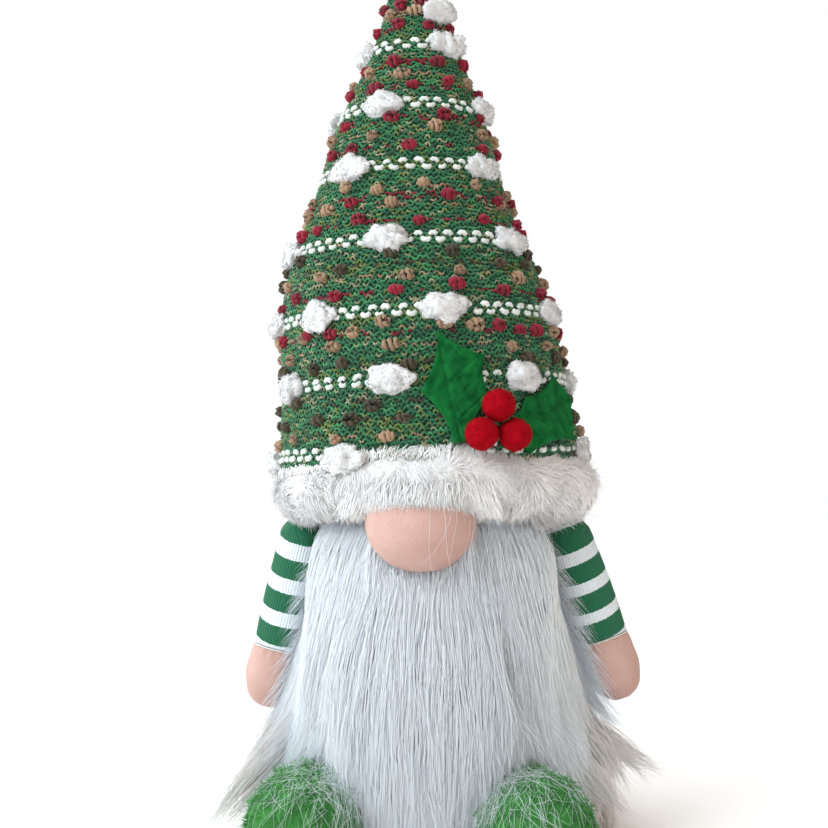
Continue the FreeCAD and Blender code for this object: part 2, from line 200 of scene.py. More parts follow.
def make_piece(name, points, faces, body, material, values=None, colours=None):
    """A mesh object from points and arrays of faces, each array with one corner count."""
    faces = [np.asarray(f, np.int32) for f in faces if len(f)]
    mesh = bpy.data.meshes.new(name)
    mesh.vertices.add(len(points))
    mesh.vertices.foreach_set("co", np.asarray(points, np.float32).ravel())
    corners = np.concatenate([f.ravel() for f in faces])
    sizes = np.concatenate([np.full(len(f), f.shape[1], np.int32) for f in faces])
    mesh.loops.add(len(corners))
    mesh.loops.foreach_set("vertex_index", corners)
    mesh.polygons.add(len(sizes))
    starts = np.concatenate(([0], np.cumsum(sizes)[:-1]))
    mesh.polygons.foreach_set("loop_start", starts.astype(np.int32))
    mesh.update(calc_edges=True)
    for key, data in (values or {}).items():
        layer = mesh.attributes.new(key, "FLOAT", "POINT")
        layer.data.foreach_set("value", np.asarray(data, np.float32).ravel())
    for key, data in (colours or {}).items():
        rgba = np.ones((len(points), 4), np.float32)
        rgba[:, :3] = data
        layer = mesh.attributes.new(key, "FLOAT_COLOR", "POINT")
        layer.data.foreach_set("color", rgba.ravel())
    mesh.shade_smooth()
    piece = bpy.data.objects.new(name, mesh)
    bpy.context.scene.collection.objects.link(piece)
    mesh.materials.append(material)
    if body:
        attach(piece, body)
    return piece


def tubes(paths, radii, sides, pointed=False):
    """Closed tubes along paths (n, k, 3) with radii (n, k).

    Gives the points (n, m, 3) and the faces of one tube, which ends flat or in one point."""
    count, rings, _ = paths.shape
    along = unit(np.gradient(paths, axis=1))
    straight = unit(paths[:, -1] - paths[:, 0])
    least = np.eye(3)[np.argmin(np.abs(straight), axis=1)]
    across = unit(np.cross(along, least[:, None, :]))
    other = np.cross(along, across)
    angle = np.arange(sides) * TURN / sides
    cos, sin = np.cos(angle)[:, None], np.sin(angle)[:, None]
    spokes = across[:, :, None, :] * cos + other[:, :, None, :] * sin
    if pointed:
        rings -= 1
    skin = paths[:, :rings, None, :] + radii[:, :rings, None, None] * spokes[:, :rings]
    points = skin.reshape(count, rings * sides, 3)
    ring = np.arange(sides)
    after = (ring + 1) % sides
    start = np.arange(rings - 1)[:, None] * sides
    corners = (start + ring, start + after, start + sides + after, start + sides + ring)
    faces = [np.stack(corners, axis=-1).reshape(-1, 4), ring[::-1].reshape(1, sides)]
    last = (rings - 1) * sides
    if pointed:
        points = np.concatenate((points, paths[:, -1:, :]), axis=1)
        tip = np.full(sides, last + sides)
        faces.append(np.stack((last + ring, last + after, tip), axis=-1))
    else:
        faces.append((last + ring).reshape(1, sides))
    return points, faces


def many(points, faces):
    """Flattens n equal shapes (n, m, 3) with the faces of one of them into one mesh."""
    count, size, _ = points.shape
    step = np.arange(count)[:, None, None] * size
    grown = [(f[None] + step).reshape(-1, f.shape[1]) for f in faces]
    return points.reshape(-1, 3), grown


def lattice(points, caps=True):
    """Points and faces of a grid (rows, columns, 3) whose columns run round, its ends capped."""
    rows, columns, _ = points.shape
    index = np.arange(rows * columns).reshape(rows, columns)
    after = np.roll(index, -1, axis=1)
    faces = [np.stack((index[:-1], after[:-1], after[1:], index[1:]), axis=-1).reshape(-1, 4)]
    flat = points.reshape(-1, 3)
    if caps:
        for row, flip in ((0, True), (rows - 1, False)):
            middle = len(flat)
            flat = np.concatenate((flat, points[row].mean(axis=0)[None]))
            ends = np.stack((index[row], after[row], np.full(columns, middle)), axis=-1)
            faces.append(ends[:, ::-1] if flip else ends)
    return flat, faces


def globe(level):
    """Points and triangles of a unit icosphere."""
    shape = bmesh.new()
    bmesh.ops.create_icosphere(shape, subdivisions=level, radius=1.0)
    points = np.array([v.co for v in shape.verts])
    faces = np.array([[v.index for v in f.verts] for f in shape.faces])
    shape.free()
    return points, [faces]


def tree_of(*nodes):
    """A search tree of the outsides of CAD nodes."""
    points = []
    faces = []
    for node in nodes:
        mesh = frame["nodes"][node].data
        start = len(points)
        points += [v.co.copy() for v in mesh.vertices]
        faces += [[start + i for i in f.vertices] for f in mesh.polygons]
    return BVHTree.FromPolygons(points, faces)


def cast_in(tree, centre, directions, reach):
    """Where lines from centre + reach * direction back towards centre first meet the tree."""
    found = []
    for direction in directions:
        origin = Vector(centre + reach * direction)
        hit = tree.ray_cast(origin, Vector(-direction), reach)[0]
        found.append(centre if hit is None else np.array(hit))
    return np.array(found)


# ---------------------------------------------------------------- materials

def new_material(name, roughness=0.85, **sockets):
    """A material whose constants are set on the shader itself."""
    material = bpy.data.materials.new(name)
    material.use_nodes = True
    shader = material.node_tree.nodes["Principled BSDF"]
    shader.inputs["Roughness"].default_value = roughness
    for key, value in sockets.items():
        shader.inputs[key.replace("_", " ").title().replace("Ior", "IOR")].default_value = value
    return material


def node(material, kind, **settings):
    """Adds a node. Settings name its inputs, or its properties when it has no such input."""
    made = material.node_tree.nodes.new(kind)
    for key, value in settings.items():
        socket = made.inputs.get(key.replace("_", " ").title())
        if socket is None:
            setattr(made, key, value)
        else:
            socket.default_value = value
    return made


def join(material, source, target):
    material.node_tree.links.new(source, target)


def ramp(material, source, stops, stepped=False):
    """A colour ramp with (place, colour) stops."""
    made = node(material, "ShaderNodeValToRGB")
    made.color_ramp.interpolation = "CONSTANT" if stepped else "LINEAR"
    elements = made.color_ramp.elements
    while len(elements) < len(stops):
        elements.new(0.5)
    for element, (place, colour) in zip(elements, stops):
        element.position = place
        element.color = (*colour, 1)
    join(material, source, made.inputs["Fac"])
    return made.outputs["Color"]


def mix(material, kind, share, first, second):
    """Mixes two colours. share, first and second are sockets or constants."""
    made = node(material, "ShaderNodeMix", data_type="RGBA", blend_type=kind)
    for index, value in ((0, share), (6, first), (7, second)):
        if hasattr(value, "is_output"):
            join(material, value, made.inputs[index])
        elif index:
            made.inputs[index].default_value = (*value, 1)
        else:
            made.inputs[index].default_value = value
    return made.outputs[2]


def noise(material, size, detail):
    """Noise that varies over about size, fixed to the piece."""
    where = node(material, "ShaderNodeTexCoord")
    made = node(material, "ShaderNodeTexNoise", scale=1 / size, detail=detail)
    join(material, where.outputs["Object"], made.inputs["Vector"])
    return made.outputs["Fac"]


def bump(material, height, distance):
    """A bump that is distance deep."""
    shader = material.node_tree.nodes["Principled BSDF"]
    made = node(material, "ShaderNodeBump", distance=distance)
    join(material, height, made.inputs["Height"])
    join(material, made.outputs["Normal"], shader.inputs["Normal"])


def paint(material, colour):
    join(material, colour, material.node_tree.nodes["Principled BSDF"].inputs["Base Color"])


def attribute(material, name, output="Fac"):
    return node(material, "ShaderNodeAttribute", attribute_name=name).outputs[output]


def multiply_grey(material, colour, fine, low, high):
    """Paints the colour times greys that follow the noise, as (noise, grey) at two places."""
    stops = [(place, (grey, grey, grey)) for place, grey in (low, high)]
    paint(material, mix(material, "MULTIPLY", 1.0, colour, ramp(material, fine, stops)))


def fur_paint(name, root, dull, bright, roughness, gloss=0.35):
    """Strands: each has its own tone between dull and bright, and the root colour at their base is
    painted shade deep in the pile.
    """
    material = new_material(name, roughness, specular_ior_level=gloss)
    shades = ((0.0, dull), (0.55, bright), (1.0, bright))
    body = ramp(material, attribute(material, "shade"), shades)
    # The root colour is painted shade: strands deep in the pile are shadowed by the ones above
    # them.
    root_shade_stops = ((0.0, (0, 0, 0)), (0.35, (1, 1, 1)))
    depth = ramp(material, attribute(material, "along"), root_shade_stops)
    paint(material, mix(material, "MIX", depth, root, body))
    return material


def cloth_paint(name, dark, light, size, grain, roughness=0.9, depth=0.2 * MM, **sockets):
    """A mottled cloth with a fine grain that also gives it a bump."""
    material = new_material(name, roughness, **sockets)
    wide = noise(material, size, 2.0)
    fine = noise(material, grain, 4.0)
    first = ramp(material, wide, ((0.3, dark), (0.7, light)))
    multiply_grey(material, first, fine, (0.3, 0.78), (0.7, 1.0))
    bump(material, fine, depth)
    return material


def yarn_paint(name, attribute_name, grain, depth):
    """Yarn whose colour is in the mesh, with fine fibres that lighten and darken it."""
    material = new_material(name, 0.95, sheen_weight=0.15, sheen_roughness=0.5)
    fine = noise(material, grain, 4.0)
    own = attribute(material, attribute_name, "Color")
    multiply_grey(material, own, fine, (0.25, 0.62), (0.75, 1.25))
    bump(material, fine, depth)
    return material


# The beard fur's blue tint is partly its own and partly painted cool key light; its first colour is
# painted shade at the roots.
WHITE_FUR = fur_paint(
    "beard_fur_white", (0.77, 0.83, 0.89), (0.83, 0.89, 0.95), (0.88, 0.93, 0.98), 0.65
)
# The body fur is a greyer, warmer copy of the white fur: painted shade for the sides and back,
# which face away from the key light.
BODY_FUR_PAINTED_SHADE = fur_paint(
    "body_fur_white_painted_shade", (0.55, 0.52, 0.50), (0.70, 0.67, 0.65), (0.88, 0.86, 0.85), 0.65
)
BRIM_FUR = fur_paint(
    "brim_plush_white", (0.88, 0.86, 0.85), (0.95, 0.94, 0.93), (0.99, 0.98, 0.975), 0.8
)
SHOE_FUR = fur_paint(
    "shoe_fleece_green", (0.02, 0.12, 0.025), (0.035, 0.22, 0.04), (0.10, 0.34, 0.10), 0.9
)
BERRY_FUZZ = fur_paint(
    "berry_felt_fuzz", (0.24, 0.0, 0.004), (0.32, 0.0, 0.006), (0.42, 0.001, 0.010), 0.95, 0.1
)
SLUB_FUR = fur_paint(
    "slub_white", (0.58, 0.59, 0.60), (0.62, 0.63, 0.64), (0.70, 0.70, 0.70), 0.95, 0.1
)
FUR_BACKING = cloth_paint(
    "fur_backing_white", (0.90, 0.90, 0.92), (0.96, 0.96, 0.97), 9 * MM, 0.8 * MM, depth=0.5 * MM
)
KNIT_YARN = yarn_paint("hat_knit_yarn", "yarn", 0.5 * MM, 0.15 * MM)
# The ground is darker than most of the stitches' yarn: partly the deepest yarn tone, partly painted
# shade in the gaps between the loops.
KNIT_GROUND_TONE_AND_GAP_SHADE = cloth_paint(
    "hat_knit_ground_and_gap_shade", (0.012, 0.075, 0.035), (0.03, 0.13, 0.055), 12 * MM, 0.9 * MM, 0.95, 0.4 * MM
)
SKIN = cloth_paint(
    "skin_jersey", (0.56, 0.335, 0.28), (0.64, 0.40, 0.34), 22 * MM, 0.45 * MM, 0.8, 0.05 * MM,
    sheen_weight=0.1, sheen_roughness=0.4,
)
LEAF_FELT = cloth_paint(
    "leaf_felt_green", (0.002, 0.078, 0.018), (0.009, 0.17, 0.037), 5 * MM, 0.5 * MM, 0.95,
    specular_ior_level=0.1,
)
BERRY_FELT = cloth_paint(
    "berry_felt_red", (0.32, 0.0, 0.005), (0.42, 0.001, 0.009), 4 * MM, 0.5 * MM, 0.95,
    specular_ior_level=0.1,
)
SHOE_FLEECE = cloth_paint(
    "shoe_fleece_ground", (0.02, 0.15, 0.025), (0.05, 0.27, 0.045), 7 * MM, 0.9 * MM, 0.95, 0.6 * MM
)


# ---------------------------------------------------------------- what the CAD measures

def body_profile():
    """Heights and outside radii of the fur bag."""
    tree = tree_of("body_fur_cover")
    heights = np.linspace(4, 205, 80) * MM
    outward = np.array((0.0, -1.0, 0.0))
    radii = [-cast_in(tree, np.array((0, 0, z)), [outward], HAT_REACH)[0][1] for z in heights]
    return heights, np.array(radii)


def hat_profile():
    """Heights of the hat, with its radius and its lean along X and Y at each."""
    tree = tree_of("hat_knit_cover")
    heights = np.linspace(190, 446, 90) * MM
    ways = polar(np.arange(4) * TURN / 4, 1.0, 0.0)
    rows = []
    for z in heights:
        inside = np.array((-9.5 * MM, 5 * MM, z))
        front, right, back, left = cast_in(tree, inside, ways, HAT_REACH)
        radius = (right[0] - left[0] + back[1] - front[1]) / 4
        rows.append((radius, (right[0] + left[0]) / 2, (back[1] + front[1]) / 2))
    return heights, np.array(rows)


BODY_HEIGHTS, BODY_RADII = body_profile()
HAT_HEIGHTS, HAT_ROWS = hat_profile()


def body_radius(height):
    """Outside radius of the fur bag."""
    return np.interp(height, BODY_HEIGHTS, BODY_RADII)


def hat_row(height):
    """The hat's radius and its lean along X and Y at that height."""
    return [np.interp(height, HAT_HEIGHTS, HAT_ROWS[:, i]) for i in range(3)]


def hat_point(azimuth, height, off=0.0):
    """A point that far outside the hat's cone."""
    radius, lean_x, lean_y = hat_row(height)
    return polar(azimuth, radius + off, height) + np.stack((lean_x, lean_y, 0 * lean_x), axis=-1)


def hat_radius(height):
    """Outside radius of the knitted cover."""
    return np.interp(height, HAT_HEIGHTS, HAT_ROWS[:, 0])


def on_knit_row(azimuth, row):
    """The height at which the knitted row with that number (metres) passes that azimuth."""
    height = row + 0 * azimuth
    for _ in range(3):
        point = hat_point(azimuth, height)
        height = row + HAT_ROW_SLOPE * (point[..., 0] + point[..., 1])
    return height


def hat_axes(azimuth, height):
    """Along the knitted row, up the slope and out of the hat, at a place on the hat."""
    step = 1 * MM
    up = unit(hat_point(azimuth, height + step) - hat_point(azimuth, height - step))
    row = polar(azimuth + TURN / 4, 1.0, 0.0)
    out = unit(np.cross(row, up))
    row = unit(row + HAT_ROW_SLOPE * (row[..., :1] + row[..., 1:2]) * up)
    return row, np.cross(out, row), out


# ---------------------------------------------------------------- cloth

PUFF_FRAMES = 20


def puff(name, points, faces, cap, growth):
    """Swells a closed cloth form by air pressure, at most cap from where it was.

    growth is the share by which the cloth is cut too large, which gives it creases.
    Returns a search tree of the result."""
    scene = bpy.context.scene
    piece = make_piece(name, points, faces, None, FUR_BACKING)
    if FULL_DETAIL:
        cut = piece.modifiers.new("even", "REMESH")
        cut.mode = "VOXEL"
        cut.voxel_size = 3 * MM
        cut_piece = piece.evaluated_get(bpy.context.evaluated_depsgraph_get())
        even = bpy.data.meshes.new_from_object(cut_piece)
        piece.modifiers.clear()
        piece.data = even
        before = np.array([v.co for v in even.vertices])
        cloth = piece.modifiers.new("cloth", "CLOTH")
        cloth.settings.use_pressure = True
        cloth.settings.uniform_pressure_force = 4
        cloth.settings.shrink_min = -growth
        cloth.settings.effector_weights.gravity = 0
        for number in range(1, PUFF_FRAMES + 1):
            scene.frame_set(number)
        swollen = piece.evaluated_get(bpy.context.evaluated_depsgraph_get()).data
        after = np.array([v.co for v in swollen.vertices])
        moved = after - before
        far = np.linalg.norm(moved, axis=1, keepdims=True)
        after = before + moved * np.minimum(1, cap / np.maximum(far, 1e-9))
        faces = [list(f.vertices) for f in even.polygons]
        scene.frame_set(1)
    else:
        after = points
        faces = [list(f) for group in faces for f in group]
    bpy.data.objects.remove(piece)
    return BVHTree.FromPolygons([Vector(p) for p in after], faces)


def star_shape(node_name, centre):
    """The outside of a CAD node as seen from its centre, as points and triangles."""
    ways, faces = globe(4)
    return cast_in(tree_of(node_name), centre, ways, FORM_REACH), faces


# ---------------------------------------------------------------- hat

YARNS = {
    "white": (0.76, 0.80, 0.76),
    "red": (0.22, 0.002, 0.018),
    "tan": (0.30, 0.19, 0.115),
    "dark": (0.055, 0.040, 0.020),
    "green": (0.022, 0.17, 0.07),
    "deep": (0.010, 0.09, 0.04),
    "bright": (0.05, 0.28, 0.10),
    "olive": (0.16, 0.24, 0.06),
    "sand": (0.36, 0.35, 0.20),
}


def yarn_piece(name, points, faces, tint):
    """Yarn shapes (n, m, 3) as one piece, each with its own colour."""
    flat, grown = many(points, faces)
    colours = {"yarn": np.repeat(tint, points.shape[1], axis=0)}
    make_piece(name, flat, grown, "torso", KNIT_YARN, colours=colours)


def loop_tubes(azimuth, height, profile, radius, size, sides):
    """Yarn loops on the hat. profile has the (along, up, out) line of each loop."""
    row, up, out = hat_axes(azimuth, height)
    base = hat_point(azimuth, height)
    line = profile * size[:, None, None]
    paths = (
        base[:, None]
        + line[..., :1] * row[:, None]
        + line[..., 1:2] * up[:, None]
        + line[..., 2:] * out[:, None]
    )
    return tubes(paths, np.broadcast_to(radius[:, None], paths.shape[:2]), sides)


def loop_colours(azimuth, row, rng):
    """The ground yarn's melange: bands by height, stretches along a row, single stitches."""
    count = len(azimuth)
    run = np.stack((azimuth * hat_radius(row) / MM / 16, row / MM * 1.4), axis=-1)
    tone = ripple(run, 1.0, 11) * 0.5 + rng.normal(size=count) * 0.45
    band = ripple(row[:, None] / MM, 16.0, 5, 5)
    order = np.array([YARNS[k] for k in ("deep", "green", "green", "bright")])
    pick = np.clip((tone + 0.9) / 1.8 * 3, 0, 2.999)
    low = pick.astype(int)
    share = (pick - low)[:, None]
    colour = order[low] * (1 - share) + order[low + 1] * share
    chance = rng.random(count)
    olive = chance < np.clip(0.14 + 0.22 * band, 0.04, 0.5)
    colour[olive] = np.array(YARNS["olive"]) * rng.uniform(0.6, 1.1, (olive.sum(), 1))
    sand = rng.random(count) < np.clip(0.07 - 0.10 * band, 0.02, 0.22)
    colour[sand] = np.array(YARNS["sand"]) * rng.uniform(0.6, 1.1, (sand.sum(), 1))
    for height, yarn, _ in NUB_ROWS:
        close = np.abs(row - height * MM) < 1.3 * MM
        share = {"red": 0.34, "tan": 0.28, "dark": 0.30}[yarn]
        hit = close & (rng.random(count) < share)
        colour[hit] = np.array(YARNS[yarn]) * rng.uniform(0.8, 1.3, (hit.sum(), 1))
    return colour


def make_ground():
    """The cloth under the stitches: a closed cone with a low lip, a little inside the loops. Its
    dark green is partly the yarn's deepest tone and partly painted shade in the gaps between the
    loops.
    """
    around = circle(HAT_SIDES)
    heights = np.linspace(KNIT_LOW, KNIT_TOP, 150)
    azimuth, height = np.meshgrid(around, heights)
    outside = hat_point(azimuth, height, -0.5 * MM)
    inside = hat_point(azimuth, height, -2.2 * MM)[::-1]
    lined = inside[:, 0, 2] < 430 * MM  # the tip is too narrow for an inner face
    grid = np.concatenate((outside, inside[lined], outside[:1]))
    flat, faces = lattice(grid, caps=False)
    piece = make_piece("hat_ground", flat, faces, "torso", KNIT_GROUND_TONE_AND_GAP_SHADE)
    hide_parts("hat_knit_cover")


def make_stitches():
    """Purl loops: rows of small arches that point up and down in turn."""
    rng = np.random.default_rng(21)
    arch = np.array((
        (-0.60, -0.38, -0.10), (-0.22, 0.32, 0.28), (0.22, 0.32, 0.28), (0.60, -0.38, -0.10)
    ))
    azimuths = []
    rows = []
    for number, row in enumerate(np.arange(KNIT_LOW, KNIT_TOP, LOOP_PITCH)):
        count = max(6, int(TURN * hat_radius(row) / LOOP_WIDTH))
        loops = np.arange(count) + 0.5 * (number % 2) + rng.normal(size=count) * 0.07
        azimuths.append(loops * TURN / count)
        rows.append(np.full(count, row))
    azimuth = np.concatenate(azimuths)
    row = np.concatenate(rows)
    height = on_knit_row(azimuth, row) + rng.normal(size=len(row)) * 0.18 * MM
    inside = height < 445 * MM
    azimuth, row, height = azimuth[inside], row[inside], height[inside]
    colour = loop_colours(azimuth, row, rng)
    flip = np.where(rng.random(len(row)) < 0.5, 1.0, -1.0)
    line = arch[None] * np.stack((np.ones_like(flip), flip, np.ones_like(flip)), axis=-1)[:, None]
    radius = rng.uniform(0.42, 0.58, len(row)) * MM
    points, faces = loop_tubes(azimuth, height, line, radius, np.full(len(row), LOOP_WIDTH), 4)
    for number, part in enumerate(np.array_split(np.arange(len(row)), 4)):
        yarn_piece(f"hat_stitches_{number + 1}", points[part], faces, colour[part])


def make_white_rows():
    """Two staggered rows of thick white loops at each white row, but none under the holly
    and the brim."""
    rng = np.random.default_rng(31)
    arch = np.array((
        (-0.50, -0.20, 0.10), (-0.22, 0.08, 0.26), (0.22, 0.08, 0.26), (0.50, -0.20, 0.10)
    ))
    pieces = []
    for row in np.array(WHITE_ROWS) * MM:
        count = int(TURN * hat_radius(row) / (7.4 * MM))
        for side in (-1, 1):
            loops = np.arange(count) + 0.25 * side + rng.normal(size=count) * 0.05
            azimuth = loops * TURN / count
            height = on_knit_row(azimuth, np.full(count, row)) + side * 1.65 * MM
            bare = ~under_holly(azimuth, height) & (height > roll_top(azimuth))
            azimuth, height = azimuth[bare], height[bare]
            count = len(azimuth)
            line = arch[None] * np.array((1, side, 1)) * np.ones((count, 1, 1))
            shift = rng.normal(size=(count, 1)) * 0.05
            line[..., 1] += shift + rng.normal(size=(count, 1)) * 0.16 * line[..., 0]
            radius = rng.uniform(1.1, 1.4, count) * MM
            size = rng.uniform(2.8, 3.8, count) * MM
            pieces.append(loop_tubes(azimuth, height, line, radius, size, 6))
    points = np.concatenate([p for p, _ in pieces])
    tint = np.array(YARNS["white"]) * rng.uniform(0.85, 1.05, (len(points), 1))
    yarn_piece("hat_white_rows", points, pieces[0][1], tint)


def all_round(front, row, spacing, rng):
    """The given azimuths in front, carried on round the back at about the same spacing."""
    places = [math.radians(a) for a in front]
    step = spacing / float(hat_radius(row))
    place = max(places) + step
    while place < TURN + min(places) - 0.6 * step:
        places.append(place)
        place += step * rng.uniform(0.8, 1.2)
    return np.array(places)


def under_holly(azimuth, height):
    """Where the leaves and berries lie, so that nothing thick pokes through them."""
    across = np.degrees(azimuth)
    up = height / MM
    left = (across > 2) & (across < 25) & (up > 181) & (up < 236)
    right = (across > 33) & (across < 78) & (up > 184) & (up < 213)
    return left | right


def make_nubs():
    """Small balls of wound yarn along their rows."""
    rng = np.random.default_rng(41)
    azimuths = []
    rows = []
    tints = []
    for height, yarn, front in NUB_ROWS:
        around = all_round(front, height * MM, NUB_SPACING, rng)
        azimuths.append(around + rng.normal(size=len(around)) * 0.03)
        rows.append(height * MM + rng.normal(size=len(around)) * 1.2 * MM)
        tints.append(np.array(YARNS[yarn]) * rng.uniform(0.85, 1.35, (len(around), 1)))
    azimuth = np.concatenate(azimuths)
    height = on_knit_row(azimuth, np.concatenate(rows))
    bare = ~under_holly(azimuth, height)
    azimuth = azimuth[bare]
    height = height[bare]
    tint = np.concatenate(tints)[bare]
    count = len(azimuth)
    turn = np.linspace(0, 1, 34)
    climb = math.pi * turn
    spin = TURN * 3.6 * turn + rng.uniform(0, TURN, count)[:, None]
    size = rng.uniform(1.5, 2.4, (count, 1)) * MM
    thin = np.sin(climb) + 0.15
    line = (-np.cos(climb) * 1.15 + 0 * spin, np.cos(spin) * thin, np.sin(spin) * thin)
    stretch = (rng.uniform(0.9, 1.5, count), rng.uniform(0.8, 1.1, count), np.ones(count))
    line = np.stack(line, axis=-1) * size[..., None] * np.stack(stretch, axis=-1)[:, None]
    line = line + rng.normal(size=line.shape) * 0.2 * MM
    line[..., 2] += 1.4 * MM
    radius = rng.uniform(1.0, 1.3, count) * MM
    points, faces = loop_tubes(azimuth, height, line, radius, np.ones(count), 5)
    yarn_piece("hat_nubs", points, faces, tint)


def make_slubs():
    """Fluffy white lumps of roving caught in the white rows: a soft core and many curled fibres."""
    rng = np.random.default_rng(51)
    places = []
    for row, front in zip(WHITE_ROWS, SLUB_AZIMUTHS):
        for azimuth in all_round(front, row * MM, SLUB_SPACING, rng):
            places.append((azimuth, row * MM))
    places.append((math.radians(47), 405 * MM))
    azimuth, row = np.array(places).T
    height = on_knit_row(azimuth, row)
    along, up, out = hat_axes(azimuth, height)
    middle = hat_point(azimuth, height, 2.0 * MM)
    middle[row < 190 * MM, 2] -= 3 * MM  # the lowest ones sit in the brim's plush
    count = len(places)
    sizes = ((9.5, 12.5), (5.8, 7.4), (4.2, 5.4))  # half the length, height and thickness
    halves = np.stack([rng.uniform(*size, count) for size in sizes], axis=-1) * MM
    ball, faces = globe(4)
    lumps = np.stack([
        1 + 0.13 * ripple(ball * (1.6, 1, 1) + k, 1.2, 61 + k) for k in range(count)
    ])
    lumps = lumps + np.stack([
        0.045 * ripple(ball * (1.5, 1, 1), 0.3, 161 + k) for k in range(count)
    ])
    local = ball[None] * lumps[..., None] * halves[:, None]
    axes = np.stack((along, up, out), axis=1)
    core = middle[:, None] + local @ axes
    for number, part in enumerate(np.array_split(np.arange(count), 2)):
        flat, grown = many(core[part], faces)
        shade = rng.uniform(0.5, 1, len(flat))
        make_piece(
            f"hat_slub_cores_{number + 1}", flat, grown, "torso", SLUB_FUR,
            values={"shade": shade, "along": np.full(len(flat), 0.6)},
        )
    each = (count, SLUB_FIBRES)
    chosen = rng.integers(0, len(ball), each)
    root = np.take_along_axis(local, chosen[..., None], axis=1) * 0.97
    way = unit(ball[chosen] + rng.normal(size=(*each, 3)) * 0.45)
    tangent = unit(np.cross(way, rng.normal(size=(*each, 3))))
    steps = np.linspace(0, 1, 4)[:, None]
    length = rng.uniform(0.4, 1.25, (*each, 1, 1)) * MM
    looped = rng.random((*each, 1, 1)) < 0.3
    rise = np.where(looped, np.sin(steps * math.pi * 0.86), steps + 0 * looped)
    swing = np.where(looped, steps * 1.1, 0.8 * steps**2 + 0 * looped)
    twist = rng.normal(size=(*each, 1, 3)) * np.sin(steps * 5.5) * 0.12
    curl = way[:, :, None] * rise + tangent[:, :, None] * swing + twist
    line = root[:, :, None] + curl * length
    paths = middle[:, None, None] + line @ axes[:, None]
    paths = paths.reshape(-1, 4, 3)
    radii = np.broadcast_to(np.array((0.17, 0.18, 0.15, 0.08)) * MM, paths.shape[:2])
    outward = (ball[chosen] @ axes).reshape(-1, 3)
    fur_pieces("hat_slub_fibres", paths, radii, SLUB_FUR, rng, 3, outward=outward)


# ---------------------------------------------------------------- fur

def bow_line(start, knee, stop, points):
    """Lines of a number of points from start to stop (n, 3) that bend towards knee."""
    steps = np.linspace(0, 1, points)[None, :, None]
    start, knee, stop = start[:, None], knee[:, None], stop[:, None]
    return (1 - steps)**2 * start + 2 * steps * (1 - steps) * knee + steps**2 * stop


def sway(rng, count, points, rate, size):
    """A bend for each strand in a direction of its own, as a sine of rate times its length."""
    wave = np.sin(np.linspace(0, 1, points)[None, :, None] * rate)
    return rng.normal(size=(count, 1, 3)) * wave * size


def fuzz_lines(roots, ways, lean, length):
    """Short fibres of four points that start along ways (n, 3) and bend with lean (n, 1, 3)."""
    steps = np.linspace(0, 1, 4)[None, :, None]
    return roots[:, None] + length * (ways[:, None] * steps + lean * steps**1.5)


def soften(piece, points, paths, outward):
    """Turns each strand's normals mostly outwards from the fur, as dense fur scatters light."""
    rings = paths.shape[1]
    spine = np.concatenate((np.repeat(paths[:, :-1], 3, axis=1), paths[:, rings - 1:]), axis=1)
    own = unit(points - spine)
    own[:, -1] = 0
    normals = unit(outward[:, None] + OWN_NORMAL * own).reshape(-1, 3)
    piece.data.normals_split_custom_set_from_vertices(normals)


def off_body(paths):
    """The way out of the body for each strand, at its middle."""
    return unit(paths[:, paths.shape[1] // 2] * (1, 1, 0)) + (0, 0, 0.15)


def fur_pieces(name, paths, radii, material, rng, parts, nodes=(), outward=None):
    """Strands as closed three-sided tapered tubes, split over a number of pieces.

    outward is the way out of the fur for each strand, for soft shading."""
    shade = rng.random(len(paths))
    order = rng.permutation(len(paths))
    for number, part in enumerate(np.array_split(order, parts)):
        points, faces = tubes(paths[part], radii[part], 3, pointed=True)
        flat, grown = many(points, faces)
        along = np.append(np.repeat(np.linspace(0, 1, paths.shape[1])[:-1], 3), 1.0)
        values = {
            "shade": np.repeat(shade[part], points.shape[1]), "along": np.tile(along, len(part))
        }
        piece = make_piece(
            f"{name}_{number + 1}", flat, grown, "torso", material, values
        )
        if outward is not None:
            soften(piece, points, paths[part], outward[part])
        for cad_node in nodes:
            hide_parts(cad_node)


def push_out(points, centre, halves, turn=0.0):
    """Moves points inside an ellipsoid, turned about Z, to its surface."""
    cos, sin = math.cos(turn), math.sin(turn)
    spin = np.array(((cos, -sin, 0), (sin, cos, 0), (0, 0, 1)))
    local = (points - centre) @ spin / halves
    far = np.linalg.norm(local, axis=-1, keepdims=True)
    out = local / np.maximum(far, 1e-6)
    local = np.where(far < 1, out, local)
    return (local * halves) @ spin.T + centre


def push_off_arm(points, side):
    """Moves points that lie inside an arm to just outside it."""
    clear = 14.2 * MM
    pivot, down, _, _ = arm_line(side)
    along = np.clip((points - pivot) @ down, 0, SLEEVE_LENGTH[side] + HAND_LENGTH - 13 * MM)
    axis = pivot + along[..., None] * down
    away = points - axis
    far = np.linalg.norm(away, axis=-1, keepdims=True)
    return np.where(far < clear, axis + away / np.maximum(far, 1e-6) * clear, points)


def clear_of_parts(paths):
    """Moves strands out of the nose, the arms and the shoes, and keeps them smooth."""
    for _ in range(2):
        moved = push_out(paths, NOSE_CENTRE, NOSE_HALVES * 1.04)
        for side in STEMS:
            moved = push_off_arm(moved, side)
        for side in STEMS:
            centre = SHOE_CENTRE * (side, 1, 1)
            moved = push_out(moved, centre, SHOE_HALVES + 1.5 * MM, side * SHOE_TOE_OUT)
        even = moved.copy()
        even[:, 1:-1] = 0.5 * moved[:, 1:-1] + 0.25 * (moved[:, :-2] + moved[:, 2:])
        paths = even
    moved[..., 2] = np.maximum(moved[..., 2], 1.2 * MM)
    return moved


